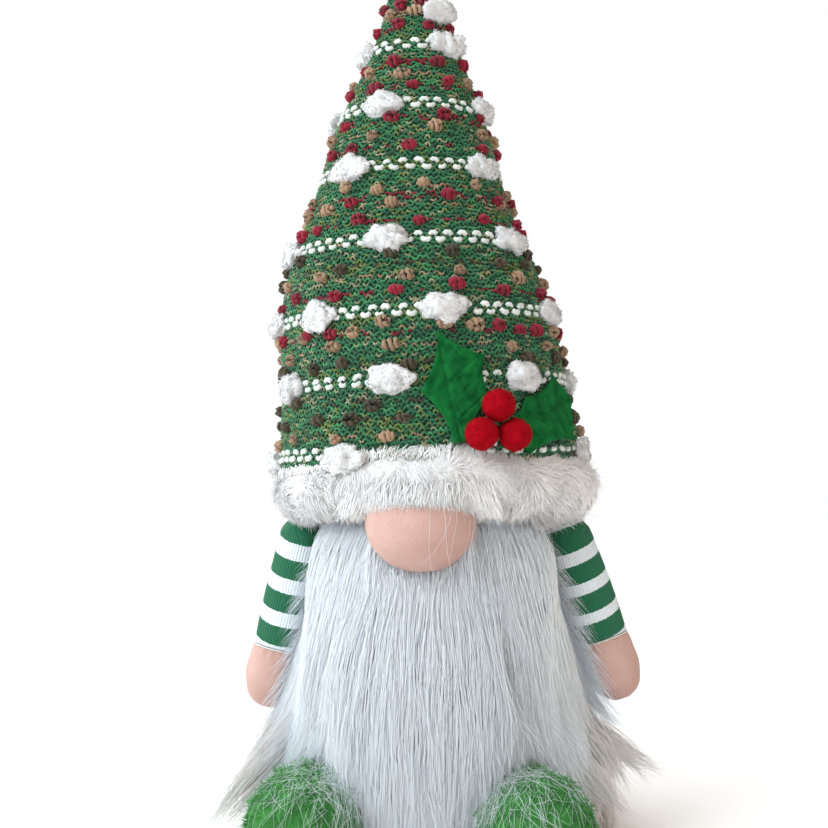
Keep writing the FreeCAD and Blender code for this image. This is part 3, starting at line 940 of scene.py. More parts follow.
def clump(paths, groups, seed, share, spread):
    """Pulls strands towards the line of a leading strand near them, more towards their tips."""
    rng = np.random.default_rng(seed)
    batch = 2000  # keeps the table of distances small
    leaders = rng.choice(len(paths), groups, replace=False)
    roots = paths[:, 0]
    owner = np.empty(len(paths), int)
    for start in range(0, len(paths), batch):
        block = roots[start:start + batch, None] - roots[leaders][None]
        owner[start:start + batch] = np.argmin((block**2).sum(axis=-1), axis=1)
    lead = paths[leaders][owner]
    offset = paths - lead
    steps = np.linspace(0, 1, paths.shape[1])
    strength = share * rng.uniform(0.5, 1.2, groups)[owner][:, None] * steps**1.5
    pulled = lead + offset * (1 - np.clip(strength, 0, 0.95))[..., None]
    drift = rng.normal(size=(groups, 3))[owner][:, None] * (steps**2)[None, :, None] * spread
    return pulled + drift


def hem_height(azimuth):
    """How high the fur ends: near the floor in the middle, higher where it lies on the shoes."""
    wide = np.abs(np.degrees(azimuth))
    over_shoe = smooth(14, 24, wide) * (1 - smooth(56, 70, wide))
    return (4 + 27 * over_shoe) * MM


def room_at(azimuth, height):
    """The share of the fur's full depth that there is room for: little behind the arms."""
    wide = np.abs(np.degrees(azimuth_from_front(azimuth)))
    across = (body_radius(height) / MM + 14) * np.abs(np.sin(azimuth))
    by_arm = smooth(52, 64, across) * (1 - smooth(112, 126, wide)) * smooth(44, 62, height / MM)
    return 1 - np.where(np.sin(azimuth) > 0, 0.55, 0.68) * by_arm


def hanging_hair(root_azimuth, root_height, length, lift, drift, rng, points=8, sharp=2.2):
    """Strands that leave the body and hang.

    lift is how far the end stands off the body and sharp how soon the strand gets there."""
    count = len(root_azimuth)
    steps = np.linspace(0, 1, points)[None]
    fall = steps**1.12
    height = root_height[:, None] - length[:, None] * fall
    away = 1 - (1 - steps) ** np.reshape(sharp, (-1, 1))
    below = np.clip(height, 0, None)
    azimuth = root_azimuth[:, None] + drift[:, None] * steps**1.5
    flow = ripple(np.stack((azimuth * 60 * MM, 0.45 * height), axis=-1), 17 * MM, 64)
    azimuth = azimuth + 0.026 * flow * steps
    off = 0.4 * MM + lift[:, None] * away * room_at(azimuth, below)
    radius = body_radius(below) + off
    lie = np.maximum.accumulate(radius[:, ::-1], axis=1)[:, ::-1]
    radius = 0.5 * radius + 0.5 * np.minimum(lie, radius + 4 * MM)
    paths = polar(azimuth, radius, height)
    wave = sway(rng, count, points, math.pi * 1.5, 0.9 * MM)
    curl = rng.normal(size=(count, 1, 3))
    phase = rng.uniform(0, TURN, (count, 1))
    bend = curl * np.sin(steps * 6.5 + phase)[..., None]
    return paths + wave + bend * 0.5 * MM * steps[..., None]


def moustache(rng):
    """Hair that comes out from under the nose, close along its lower edge."""
    count = MOUSTACHE_STRANDS
    turn = rng.uniform(-1.25, 1.25, count)
    way = unit(np.stack((np.sin(turn), rng.uniform(-0.12, 0.4, count), -np.cos(turn)), axis=-1))
    start = NOSE_CENTRE + way * NOSE_HALVES * 0.97
    low = start[:, 2] - rng.uniform(14, 40, count) * MM
    wide = start[:, 0] + np.sin(turn) * rng.uniform(1, 6, count) * MM
    ring = body_radius(low) + rng.uniform(11, 15, count) * MM
    stop = np.stack((wide, -np.sqrt(np.maximum(ring**2 - wide**2, 0)), low), axis=-1)
    knee = start + (stop - start) * (0.45, 0.0, 0.45) + np.array((0, -2.0, 0)) * MM
    return bow_line(start, knee, stop, 8) + sway(rng, count, 8, 4.5, 0.6 * MM)


def make_beard():
    """Long silky fur down the front, parted by the nose and the shoes, with a top layer that
    starts in the seam under the brim."""
    rng = np.random.default_rng(71)
    count = BEARD_STRANDS
    azimuth = np.radians(rng.uniform(-68, 68, count))
    top = 154 * MM
    hem = hem_height(azimuth)
    share = rng.random(count)**0.8
    first = rng.random(count) < 0.22  # the top layer
    share[first] = rng.uniform(0.94, 1.0, first.sum())
    root = hem + 14 * MM + (top - hem - 14 * MM) * share
    length = rng.uniform(62, 104, count) * MM
    ragged = rng.exponential(5.0, count) * MM
    length = np.minimum(length, root - hem + 6 * MM - ragged)
    length = np.maximum(length, 16 * MM)
    wide = np.abs(np.degrees(azimuth))
    flare = 5 * MM * (1 - smooth(20, 70, root / MM)) * smooth(20, 60, wide)
    straggler = rng.random(count) < 0.12
    length = np.where(straggler, length + rng.uniform(4, 22, count) * MM, length)
    length = np.minimum(length, root - 3 * MM)
    full = 14.5 * MM * smooth(10, 60, length / MM)
    lift = (1 - 0.55 * rng.random(count)**2) * full + flare
    lift = np.where(first, rng.uniform(13, 18, count) * MM, lift)
    under_nose = (wide < 26) & (root > 112 * MM) & (root < 138 * MM)
    lift = np.where(under_nose, rng.uniform(17, 24, count) * MM, lift)
    sharp = np.where(first, 9.0, np.where(under_nose, 5.0, 2.2))
    drift = azimuth * 0.10 + rng.normal(size=count) * 0.05
    paths = hanging_hair(azimuth, root, length, lift, drift, rng, sharp=sharp)
    paths = clump(paths, 2200, 72, 0.13, 1.1 * MM)
    paths = np.concatenate((clear_of_parts(paths), moustache(rng)))
    radii = rng.uniform(0.08, 0.12, (len(paths), 1)) * MM * LONG_TAPER
    fur_pieces(
        "beard_fur", paths, radii, WHITE_FUR, rng, 6, nodes=("beard_fur_panel",),
        outward=off_body(paths),
    )


def make_body_fur():
    """Fur round the sides and the back: flat under the arms, flared near the floor, in a greyer and
    warmer copy of the white fur that is painted shade.
    """
    rng = np.random.default_rng(81)
    count = BODY_STRANDS
    azimuth = np.radians(rng.uniform(56, 304, count))
    edge = rng.random(count) < 0.25  # more of it where it is seen beside the beard
    azimuth[edge] = np.radians(rng.uniform(56, 96, edge.sum())) * rng.choice((-1, 1), edge.sum())
    root = (8 + 142 * rng.random(count)**0.9) * MM
    length = rng.uniform(40, 66, count) * MM
    length = np.minimum(length, root - 1.5 * MM - rng.exponential(3.0, count) * MM * 0.5 + 3 * MM)
    length = np.maximum(length, 7 * MM)
    low = 1 - smooth(25, 95, root / MM)
    on_right = smooth(0.0, 0.6, np.sin(azimuth)) * smooth(-0.3, 0.5, np.cos(azimuth))
    lift = rng.uniform(0.25, 1.0, count) * (11 + 20 * low * (1 - 0.5 * on_right)) * MM
    drift = rng.normal(size=count) * 0.05
    paths = hanging_hair(azimuth, root, length, lift, drift, rng, 7)
    paths = clump(paths, 480, 82, 0.6, 2.2 * MM)
    paths = clear_of_parts(paths)
    radii = rng.uniform(0.13, 0.19, (count, 1)) * MM * BODY_TAPER
    fur_pieces(
        "body_fur", paths, radii, BODY_FUR_PAINTED_SHADE, rng, 4, nodes=("body_fur_cover",),
        outward=off_body(paths),
    )


def make_loose_hair():
    """Fine white hair that strays from the beard's edges over the shoes and the sleeves."""
    rng = np.random.default_rng(76)
    count = STRAY_STRANDS
    steps = np.linspace(0, 1, 8)[None]
    azimuth = np.radians(rng.uniform(14, 62, count)) * rng.choice((-1, 1), count)
    height = rng.uniform(40, 70, count) * MM
    length = np.minimum(height - 2 * MM, rng.uniform(14, 50, count) * MM)
    lift = rng.uniform(14, 30, count) * MM
    drift = rng.normal(size=count) * 0.14
    groups = [hanging_hair(azimuth, height, length, lift, drift, rng)]
    for side in STEMS:
        count = OVER_SHOE_STRANDS
        place = unit(rng.normal(size=(count, 3)) * (0.9, 0.7, 0.5) + (-0.4 * side, -0.5, 1.3))
        start = SHOE_CENTRE * (side, 1, 1) + place * (SHOE_HALVES + 1.5 * MM)
        way = unit(rng.normal(size=(count, 3)) * 0.6 + (0.1 * side, -0.3, -1.0))
        way = unit(way - (way * place).sum(axis=1, keepdims=True) * place)
        far = rng.uniform(6, 20, (count, 1, 1)) * MM * steps[..., None]
        curl = rng.normal(size=(count, 1, 3)) * (steps**2)[..., None] * 2.2 * MM
        groups.append(start[:, None] + way[:, None] * far + curl)
    for side in STEMS:
        count = OVER_SLEEVE_STRANDS
        pivot = arm_line(side)[0]
        first = rng.uniform(14.5, 21, count)[:, None] * MM
        last = first - rng.uniform(2, 16, (count, 1)) * MM
        inwards = first + (last - first) * steps**1.3
        top = (153 - 88 * rng.random((count, 1))**1.2) * MM
        fall = np.minimum(rng.uniform(16, 44, (count, 1)) * MM, top - 50 * MM)
        height = top - fall * steps
        across = pivot[0] + side * (math.tan(SPLAY[side]) * (pivot[2] - height) - inwards)
        over = np.sqrt(np.maximum((14.6 * MM)**2 - inwards**2, (7 * MM)**2))
        over = over + rng.uniform(0, 2.5, (count, 1)) * MM
        paths = np.stack((across, pivot[1] - over, height), axis=-1)
        groups.append(paths + sway(rng, count, 8, 4.5, 0.8 * MM))
    count = OVER_NOSE_STRANDS
    start = polar(rng.uniform(0.0, 0.75, count), 78 * MM, rng.uniform(150, 182, count) * MM)
    stop = start * (0.9, 1.0, 1.0) + rng.normal(size=(count, 3)) * (7 * MM, 0, 9 * MM)
    forward, fall = rng.uniform(-14, 2, count), rng.uniform(24, 46, count)
    stop[:, 1:] += np.stack((forward, -fall), axis=-1) * MM
    bow = sway(rng, count, 8, math.pi, 2.5 * MM)
    groups.append(start[:, None] + (stop - start)[:, None] * steps[..., None] + bow)
    paths = clear_of_parts(np.concatenate(groups))
    thick = np.interp(paths[:, 0, 2] / MM, (69, 70, 153, 154), (0.048, 0.095, 0.095, 0.055))
    thick = thick * rng.uniform(0.8, 1.2, len(paths)) * MM
    radii = thick[:, None] * LONG_TAPER
    fur_pieces(
        "beard_loose_hair", paths, radii, WHITE_FUR, rng, 1,
        nodes=("beard_fur_panel",),
    )


def make_locks():
    """Loose locks that stand away from the body near the floor and beside the arms."""
    rng = np.random.default_rng(91)
    # root azimuth (degrees) and height, end point (all mm), strands, spread
    plan = (
        ((-60, 58), (-103, -60, 4), 170, 5.0),
        ((-70, 48), (-98, -30, 14), 120, 6.0),
        ((-58, 44), (-96, -62, 6), 130, 5.0),
        ((-78, 66), (-92, -22, 22), 110, 5.0),
        ((74, 62), (94, -24, 20), 130, 5.0),
        ((82, 52), (110, -14, 30), 110, 3.0),
        ((78, 56), (105, -20, 25), 90, 3.0),
        ((66, 44), (96, -38, 8), 110, 5.0),
    )
    every = []
    for (azimuth, height), end, count, spread in plan:
        around = math.radians(azimuth) + rng.normal(size=count) * 0.09
        start_height = (height + rng.normal(size=count) * 5) * MM
        start = polar(around, body_radius(start_height) + 1 * MM, start_height)
        stop = np.array(end) * MM + rng.normal(size=(count, 3)) * spread * MM * 0.6
        stop[:, 2] = np.maximum(stop[:, 2], 2 * MM)
        stop[:, 0] = np.maximum(stop[:, 0], -108 * MM)
        reach = rng.uniform(0.62, 1.0, (count, 1))
        stop = start + (stop - start) * reach
        knee = start * 0.45 + stop * 0.55 + np.array((0, 0, -4)) * MM + polar(around, 9 * MM, 0.0)
        every.append(bow_line(start, knee, stop, 8) + sway(rng, count, 8, 4.0, 1.2 * MM))
    paths = clear_of_parts(np.concatenate(every))
    radii = np.broadcast_to(0.15 * MM * LOCK_TAPER, paths.shape[:2])
    # The locks use the body fur's painted shade as well.
    fur_pieces("body_fur_locks", paths, radii, BODY_FUR_PAINTED_SHADE, rng, 1)


def make_backing():
    """The woven backing that the fur grows from: the body's bag, and the beard's panel over it."""
    around = circle(120)
    heights = np.concatenate((np.linspace(1.9, 205, 110) * MM, (206.4 * MM,)))
    azimuth, height = np.meshgrid(around, heights)
    closed = np.append(BODY_HEIGHTS, 207 * MM), np.append(BODY_RADII, 2 * MM)
    radius = np.interp(height, *closed)
    points = polar(azimuth, radius - 0.2 * MM, height)
    radius = radius - 0.2 * MM + 0.25 * MM * ripple(points, 7 * MM, 95)
    outside = polar(azimuth, radius, height)
    inside = polar(azimuth, np.maximum(radius - 1.6 * MM, 0.3 * MM), height)[::-1]
    inside = inside[inside[:, 0, 2] < 204 * MM]
    grid = np.concatenate((outside, inside, outside[:1]))
    flat, faces = lattice(grid, caps=False)
    piece = make_piece("body_fur_backing", flat, faces, "torso", FUR_BACKING)
    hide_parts("body_fur_cover")
    half = math.radians(52)
    azimuth, height = np.meshgrid(np.linspace(-half, half, 60), np.linspace(40, 146, 60) * MM)
    rim = smooth(0, 0.12, 1 - np.abs(azimuth) / half)
    deep = (2.0 + 8.5 * smooth(40, 52, height / MM) * (1 - smooth(110, 144, height / MM))) * MM
    pile = deep * rim * room_at(azimuth, height)
    outside = polar(azimuth, body_radius(height) + 0.5 * MM + pile, height)
    outside = push_out(outside, NOSE_CENTRE, NOSE_HALVES * 1.05)
    inside = polar(azimuth, body_radius(height) + 0.3 * MM, height)
    grid = np.concatenate((outside, inside[:, ::-1]), axis=1)
    flat, faces = lattice(grid)
    piece = make_piece("beard_fur_backing", flat, faces, "torso", FUR_BACKING)
    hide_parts("beard_fur_panel")


# ---------------------------------------------------------------- brim

def on_brim(points):
    """Moves points from a level frame at the roll's centre to the tilted brim."""
    cos, sin = math.cos(BRIM_TILT), math.sin(BRIM_TILT)
    x, y, z = points[..., 0], points[..., 1], points[..., 2]
    return np.stack((cos * x - sin * z, y, sin * x + cos * z + BRIM_HEIGHT), axis=-1)


def middle_of_brim(azimuth):
    """1 at the front middle, where the brim is pushed up, and 0 elsewhere."""
    front = azimuth_from_front(azimuth)
    return smooth(-0.6, -0.2, front) * (1 - smooth(0.3, 0.75, front))


def roll_point(azimuth, around, tube):
    """A point on the roll: around is 0 at its outside and grows over its top."""
    top = smooth(0.0, 1.0, around) * (1 - smooth(2.0, 2.8, around))
    rise = 4.5 * MM * middle_of_brim(azimuth) * top
    height = tube * np.sin(around) + rise
    return on_brim(polar(azimuth, BRIM_RING + tube * np.cos(around), height))


def over_nose(azimuth, around):
    """1 where the nose pushes the front of the roll out, and 0 elsewhere."""
    across, up = azimuth_from_front(azimuth) / 0.34, azimuth_from_front(around) / 0.9
    return np.exp(-across**2) * np.exp(-up**2)


def roll_top(azimuth):
    """The height below which the brim hides the hat's white row."""
    return (168 + 18 * middle_of_brim(azimuth)) * MM


def off_hat(paths, least):
    """Moves points that lie inside the knit, or closer to it than least, outwards."""
    radius, lean_x, lean_y = hat_row(paths[..., 2])
    lean = np.stack((lean_x, lean_y), axis=-1)
    flat = paths[..., :2] - lean
    far = np.linalg.norm(flat, axis=-1)
    above = smooth(158, 164, paths[..., 2] / MM)
    grown = 1 + above * (np.maximum(far, radius + least) / far - 1)
    return np.concatenate((lean + flat * grown[..., None], paths[..., 2:]), axis=-1)


def nose_fringe(rng):
    """Plush from the front of the roll that lies over the nose's top edge, and its way outwards."""
    count = FRINGE_STRANDS
    azimuth = rng.uniform(-0.42, 0.42, count)
    start = roll_point(azimuth, 0.2 - 1.3 * rng.random(count)**0.7, 14 * MM)
    across = start[:, 0] * 1.12 + rng.normal(size=count) * 2.6 * MM
    edge = np.sqrt(np.maximum(1 - (across / (25 * MM))**2, 0)) * 25.5 * MM
    on_nose = NOSE_CENTRE[1] - edge - rng.uniform(0.3, 1.5, count) * MM
    ahead = np.minimum(on_nose, start[:, 1] - 1 * MM)
    low = 153.6 * MM - 2.6 * MM * (across / (25 * MM))**2 + rng.normal(size=count) * 0.9 * MM
    stop = np.stack((across, ahead, low), axis=-1)
    stop = start + (stop - start) * (1 - 0.5 * rng.random((count, 1))**2)
    knee = 0.4 * start + 0.6 * stop + np.array((0, -1.5, 2.5)) * MM
    way = unit(0.5 * unit(start - roll_point(azimuth, 0.0, 0.0)) + (0, -1, 0.4))
    return bow_line(start, knee, stop, 5) + sway(rng, count, 5, 4.0, 0.4 * MM), way


def make_brim():
    """The rolled brim: a lumpy closed roll under short plush that lies in soft tufts."""
    rng = np.random.default_rng(101)
    across_roll, round_head = 48, 240
    columns, rows = np.meshgrid(circle(across_roll), circle(round_head))
    level = roll_point(rows, columns, 12 * MM)
    tube = 12.6 * MM + 0.8 * MM * ripple(level, 26 * MM, 102) + 2.2 * MM * over_nose(rows, columns)
    grid = roll_point(rows, columns, tube)[:, ::-1]
    index = np.arange(round_head * across_roll).reshape(round_head, across_roll)
    index = np.concatenate((index, index[:1]))
    after = np.roll(index, -1, axis=1)
    quads = np.stack((index[:-1], after[:-1], after[1:], index[1:]), axis=-1).reshape(-1, 4)
    base = make_piece(
        "brim_roll", grid.reshape(-1, 3), [quads[:, ::-1]], "torso", FUR_BACKING
    )
    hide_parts("brim_fur_cover")
    count = PLUSH_STRANDS
    azimuth = rng.uniform(0, TURN, count)
    outer = rng.random(count) < 0.84  # the rest lines the top edge
    around = np.where(outer, rng.uniform(-2.5, 0.85, count), rng.normal(0.74, 0.1, count))
    start = roll_point(azimuth, around, 12.2 * MM + 2.2 * MM * over_nose(azimuth, around))
    out = unit(start - roll_point(azimuth, around, 0.0))
    along = polar(azimuth + TURN / 4, 1.0, 0.0)
    swirl = unit(np.stack([ripple(start, 24 * MM, 103 + k) for k in range(3)], axis=-1))
    high = smooth(0.3, 0.75, around)[:, None]  # over the top the pile lies up against the knit
    front = azimuth_from_front(azimuth)
    left_side = smooth(0.3, 0.75, -front) * (1 - smooth(1.8, 2.6, -front))
    tall = 0.05 - 0.35 * left_side - 0.08 * smooth(0.45, 0.75, front)
    front_left = smooth(0.2, 0.35, -front) * (1 - smooth(0.95, 1.2, -front))
    right_arm = smooth(0.7, 0.95, front) * (1 - smooth(1.9, 2.2, front))
    comb = np.array((0, 0, -0.6)) * (1 - high) + np.array((0, 0, 0.9)) * high
    comb = comb + swirl * 0.7 + along * 0.25
    comb = comb - (comb * out).sum(axis=-1, keepdims=True) * out
    length = rng.uniform(5.5, 9.5, (count, 1, 1)) * MM
    hang = smooth(0.7, 1.5, -around)[:, None]  # the pile under the roll hangs over the fur below it
    below = (0.65 * right_arm - 0.3 * front_left)[:, None]
    length = length * (1 + high * (tall[:, None] - 0.5) + hang * below)[..., None]
    steps = np.linspace(0, 1, 5)[None, :, None]
    loose = rng.normal(size=(count, 1, 3)) * 0.22
    lean = comb[:, None] + loose
    rise = steps * 0.9 - (0.42 - 0.3 * hang[..., None]) * steps**2
    paths = start[:, None] + length * (out[:, None] * rise + lean * steps**1.6 * 0.75)
    paths = off_hat(clump(paths, 1700, 104, 0.35, 0.5 * MM), rng.uniform(0.5, 1.8, (count, 1)) * MM)
    fringe, way = nose_fringe(rng)
    outward = np.concatenate((out, way))
    paths = np.concatenate((paths, fringe))
    radii = rng.uniform(0.11, 0.165, (len(paths), 1)) * MM * PLUSH_TAPER
    fur_pieces(
        "brim_plush", paths, radii, BRIM_FUR, rng, 5, nodes=("brim_fur_cover",),
        outward=outward,
    )


# ---------------------------------------------------------------- stuffed pieces

def outer_cast(trees, centre, ways, reach, slack):
    """The farther out of two casts: onto the swollen form, and to slack inside the CAD form."""
    swollen = cast_in(trees[0], centre, ways, reach)
    least = cast_in(trees[1], centre, ways, reach) - slack * ways
    further = ((swollen - least) * ways).sum(axis=1, keepdims=True) > 0
    return np.where(further, swollen, least)


def refine(tree, node_name, centre):
    """A finer skin of a stuffed form: points, unit directions from the centre, triangles."""
    ways, faces = globe(6)
    trees = (tree, tree_of(node_name))
    return outer_cast(trees, centre, ways, FORM_REACH, 0.3 * MM), ways, faces


def make_nose():
    """The ball nose: tight jersey, a little dimpled, with shallow pulls towards its back."""
    start, faces = star_shape("nose_cover", NOSE_CENTRE)
    slack = NOSE_CENTRE + (start - NOSE_CENTRE) * 0.975
    tree = puff("nose_form", slack, faces, 1.2 * MM, 0.02)
    points, ways, faces = refine(tree, "nose_cover", NOSE_CENTRE)
    pull = smooth(-0.1, 0.8, ways[:, 1]) * ripple(ways[:, (0, 2)] * 3, 1.4, 111)
    dimple = 0.12 * MM * ripple(points, 9 * MM, 112) + 0.4 * MM * pull
    points = points + ways * dimple[:, None]
    piece = make_piece("nose", points, faces, "torso", SKIN)
    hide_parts("nose_cover")


def arm_line(side):
    """The shoulder, and the ways the arm hangs, its front faces and its outside faces."""
    name = STEMS[side] + "_arm_swing"
    pivot = np.array([j["pos_m"] for j in frame["joints"] if j["name"] == name][0])
    down = np.array((side * math.sin(SPLAY[side]), 0, -math.cos(SPLAY[side])))
    front = np.array((0.0, -1.0, 0.0))
    return pivot, down, front, np.cross(down, front)


def arm_form_radius(along, side):
    """Radius of the stuffed arm before it is puffed, by distance down from the shoulder."""
    cuff = SLEEVE_LENGTH[side] / MM
    knots = [-13.4, -13, -11.5, -8, -3, 2, 12, 0.62 * cuff, cuff - 1.5, cuff + 0.1]
    radii = [0.2, 6.0, 9.8, 12.1, 12.8, 12.9, 13.0, 13.4, 12.6, 11.5]
    knots += [cuff + down for down in (2, 8, 14, 19.5, 24, 28, 29.6, 30.1)]
    radii += [11.8, 12.7, 13.0, 12.2, 9.8, 5.6, 2.4, 0.2]
    return np.interp(along, np.array(knots) * MM, np.array(radii) * MM)


def make_arm(side):
    """One arm: a ribbed striped sleeve, and a soft mitten hand that narrows at the wrist."""
    stem = STEMS[side]
    pivot, down, front, across = arm_line(side)
    around = circle(48)
    spokes = np.cos(around)[:, None] * front + np.sin(around)[:, None] * across
    cuff = SLEEVE_LENGTH[side] / MM
    along = np.linspace(-13.3, cuff + 30, 60) * MM
    radius = arm_form_radius(along, side) - 0.5 * MM
    radius = np.maximum(radius, 0.1 * MM)
    grid = pivot + along[:, None, None] * down + radius[:, None, None] * spokes
    flat, faces = lattice(grid)
    swollen = puff(f"arm_form_{stem}", flat, faces, 1.6 * MM, 0.035)
    trees = (swollen, tree_of(f"sleeve_{stem}", f"hand_{stem}"))

    def skin(stations, ring):
        spokes = np.cos(ring)[:, None] * front + np.sin(ring)[:, None] * across
        rows = []
        for station in stations:
            centre = pivot + station * down
            rows.append(outer_cast(trees, centre, spokes, 40 * MM, 0.2 * MM))
        return np.array(rows), spokes

    ring = circle(310)
    stations = np.linspace(-12.6, cuff - 0.1, 96) * MM
    points, spokes = skin(stations, ring)
    rib = np.cos(ring * 56)[None, :] * 0.2 * MM * smooth(-12, -4, stations / MM)[:, None]
    course = np.cos(stations / (1.5 * MM) * TURN)[:, None] * 0.05 * MM
    points = points + (rib + course)[..., None] * spokes
    flat, faces = lattice(points)
    sag = 3.5 * MM * np.cos(ring)[None] * smooth(-12, 0, stations / MM)[:, None]
    distance = np.append((stations[:, None] - sag).ravel(), (stations[0], stations[-1])) / MM
    values = {"down": distance / 100 + STRIPE_START}
    sleeve = make_piece(
        f"sleeve_striped_{stem}", flat, faces, f"{stem}_arm", STRIPES[side],
        values,
    )
    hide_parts(f"sleeve_{stem}")
    ring = circle(96)
    past_cuff = np.concatenate((np.linspace(0.3, 25, 44), np.linspace(25.6, 29.8, 12)))
    stations = (cuff + past_cuff) * MM
    points, spokes = skin(stations, ring)
    fold = 0.5 + 0.5 * np.cos(ring * 17 + side)
    gather = fold[None, :] * 0.6 * MM * (1 - smooth(cuff, cuff + 10, stations / MM))[:, None]
    points = points + gather[..., None] * spokes
    lump = 0.2 * MM + 0.15 * MM * ripple(points, 12 * MM, 120 + side)
    points = points + lump[..., None] * spokes
    flat, faces = lattice(points)
    hand = make_piece(f"mitten_{stem}", flat, faces, f"{stem}_arm", SKIN)
    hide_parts(f"hand_{stem}")


STRIPE_START = 0.2  # what the sleeve's "down" is at the shoulder; it grows by 1 in 100 mm


def stripes(side, centres, half):
    """Green bands at those distances down the arm, in millimetres, on a white fine rib."""
    name = f"sleeve_stripes_{STEMS[side]}"
    material = new_material(name, 0.9, sheen_weight=0.2, sheen_roughness=0.5)
    white = (0.74, 0.79, 0.82)
    green = (0.006, 0.13, 0.055)
    stops = [(0.0, white)]
    for centre in centres:
        stops.append(((centre - half) / 100 + STRIPE_START, green))
        stops.append(((centre + half) / 100 + STRIPE_START, white))
    wobble = noise(material, 1.1 * MM, 2.0)
    jag = node(material, "ShaderNodeMath", operation="MULTIPLY_ADD")
    jag.inputs[1].default_value = 0.010
    jag.inputs[2].default_value = -0.005
    join(material, wobble, jag.inputs[0])
    place = node(material, "ShaderNodeMath", operation="ADD")
    join(material, attribute(material, "down"), place.inputs[0])
    join(material, jag.outputs[0], place.inputs[1])
    bands = ramp(material, place.outputs[0], stops, stepped=True)
    fine = noise(material, 0.5 * MM, 4.0)
    multiply_grey(material, bands, fine, (0.25, 0.72), (0.75, 1.12))
    bump(material, fine, 0.1 * MM)
    return material


STRIPES = {
    -1: stripes(-1, (-10, 7, 23.5, 40), 4.7),
    1: stripes(1, (-6.5, 9, 23.5, 37.5), 4.5),
}


def make_shoe(side):
    """One boot: a lumpy fleece upper under short fuzz."""
    stem = STEMS[side]
    rng = np.random.default_rng(131 + side)
    centre = SHOE_CENTRE * (side, 1, 1)
    start, faces = star_shape(f"shoe_upper_{stem}", centre)
    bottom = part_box(f"shoe_upper_{stem}")[0].z
    start[:, 2] = np.maximum(start[:, 2], bottom)
    slack = centre + (start - centre) * 0.97
    tree = puff(f"shoe_form_{stem}", slack, faces, 2.0 * MM, 0.04)
    points, ways, faces = refine(tree, f"shoe_upper_{stem}", centre)
    lump = 0.35 * MM * ripple(points, 8 * MM, 133 + side)
    lump = lump + 0.15 * MM * ripple(points, 2.5 * MM, 135 + side)
    points = points + ways * lump[:, None]
    points[:, 2] = np.maximum(points[:, 2], bottom)
    piece = make_piece(f"shoe_fleece_{stem}", points, faces, "torso", SHOE_FLEECE)
    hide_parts(f"shoe_upper_{stem}")
    off_sole = points[:, 2] > bottom + 0.5 * MM
    seen = points[:, 1] < centre[1] + 26 * MM  # the heel is inside the body's fur
    count = SHOE_FIBRES
    chosen = rng.choice(np.nonzero(off_sole & seen)[0], count)
    root = points[chosen] + rng.normal(size=(count, 3)) * 0.25 * MM
    swirl = np.stack([ripple(root, 9 * MM, 141 + k) for k in range(3)], axis=-1) * 0.6
    lean = (swirl + rng.normal(size=(count, 3)) * 0.6)[:, None] * 0.9
    paths = fuzz_lines(root, ways[chosen], lean, rng.uniform(0.9, 2.0, (count, 1, 1)) * MM)
    paths[..., 2] = np.maximum(paths[..., 2], 0.8 * MM)
    radii = np.broadcast_to(0.16 * MM * FUZZ_TAPER, paths.shape[:2])
    fur_pieces(
        f"shoe_fuzz_{stem}", paths, radii, SHOE_FUR, rng, 1,
        nodes=(f"shoe_upper_{stem}",),
    )


# ---------------------------------------------------------------- holly

def leaf_side(spikes, heights):
    """How far across the leaf's edge is at those heights, hollow between its spikes."""
    across = np.empty_like(heights)
    for (x0, z0), (x1, z1) in zip(spikes, spikes[1:]):
        here = (heights >= z0) & (heights <= z1)
        share = (heights[here] - z0) / (z1 - z0)
        long = math.hypot(x1 - x0, z1 - z0)
        inwards = -math.copysign(1, x0 + x1) * 0.42 * long
        across[here] = x0 + (x1 - x0) * share + inwards * share * (1 - share)
    return across


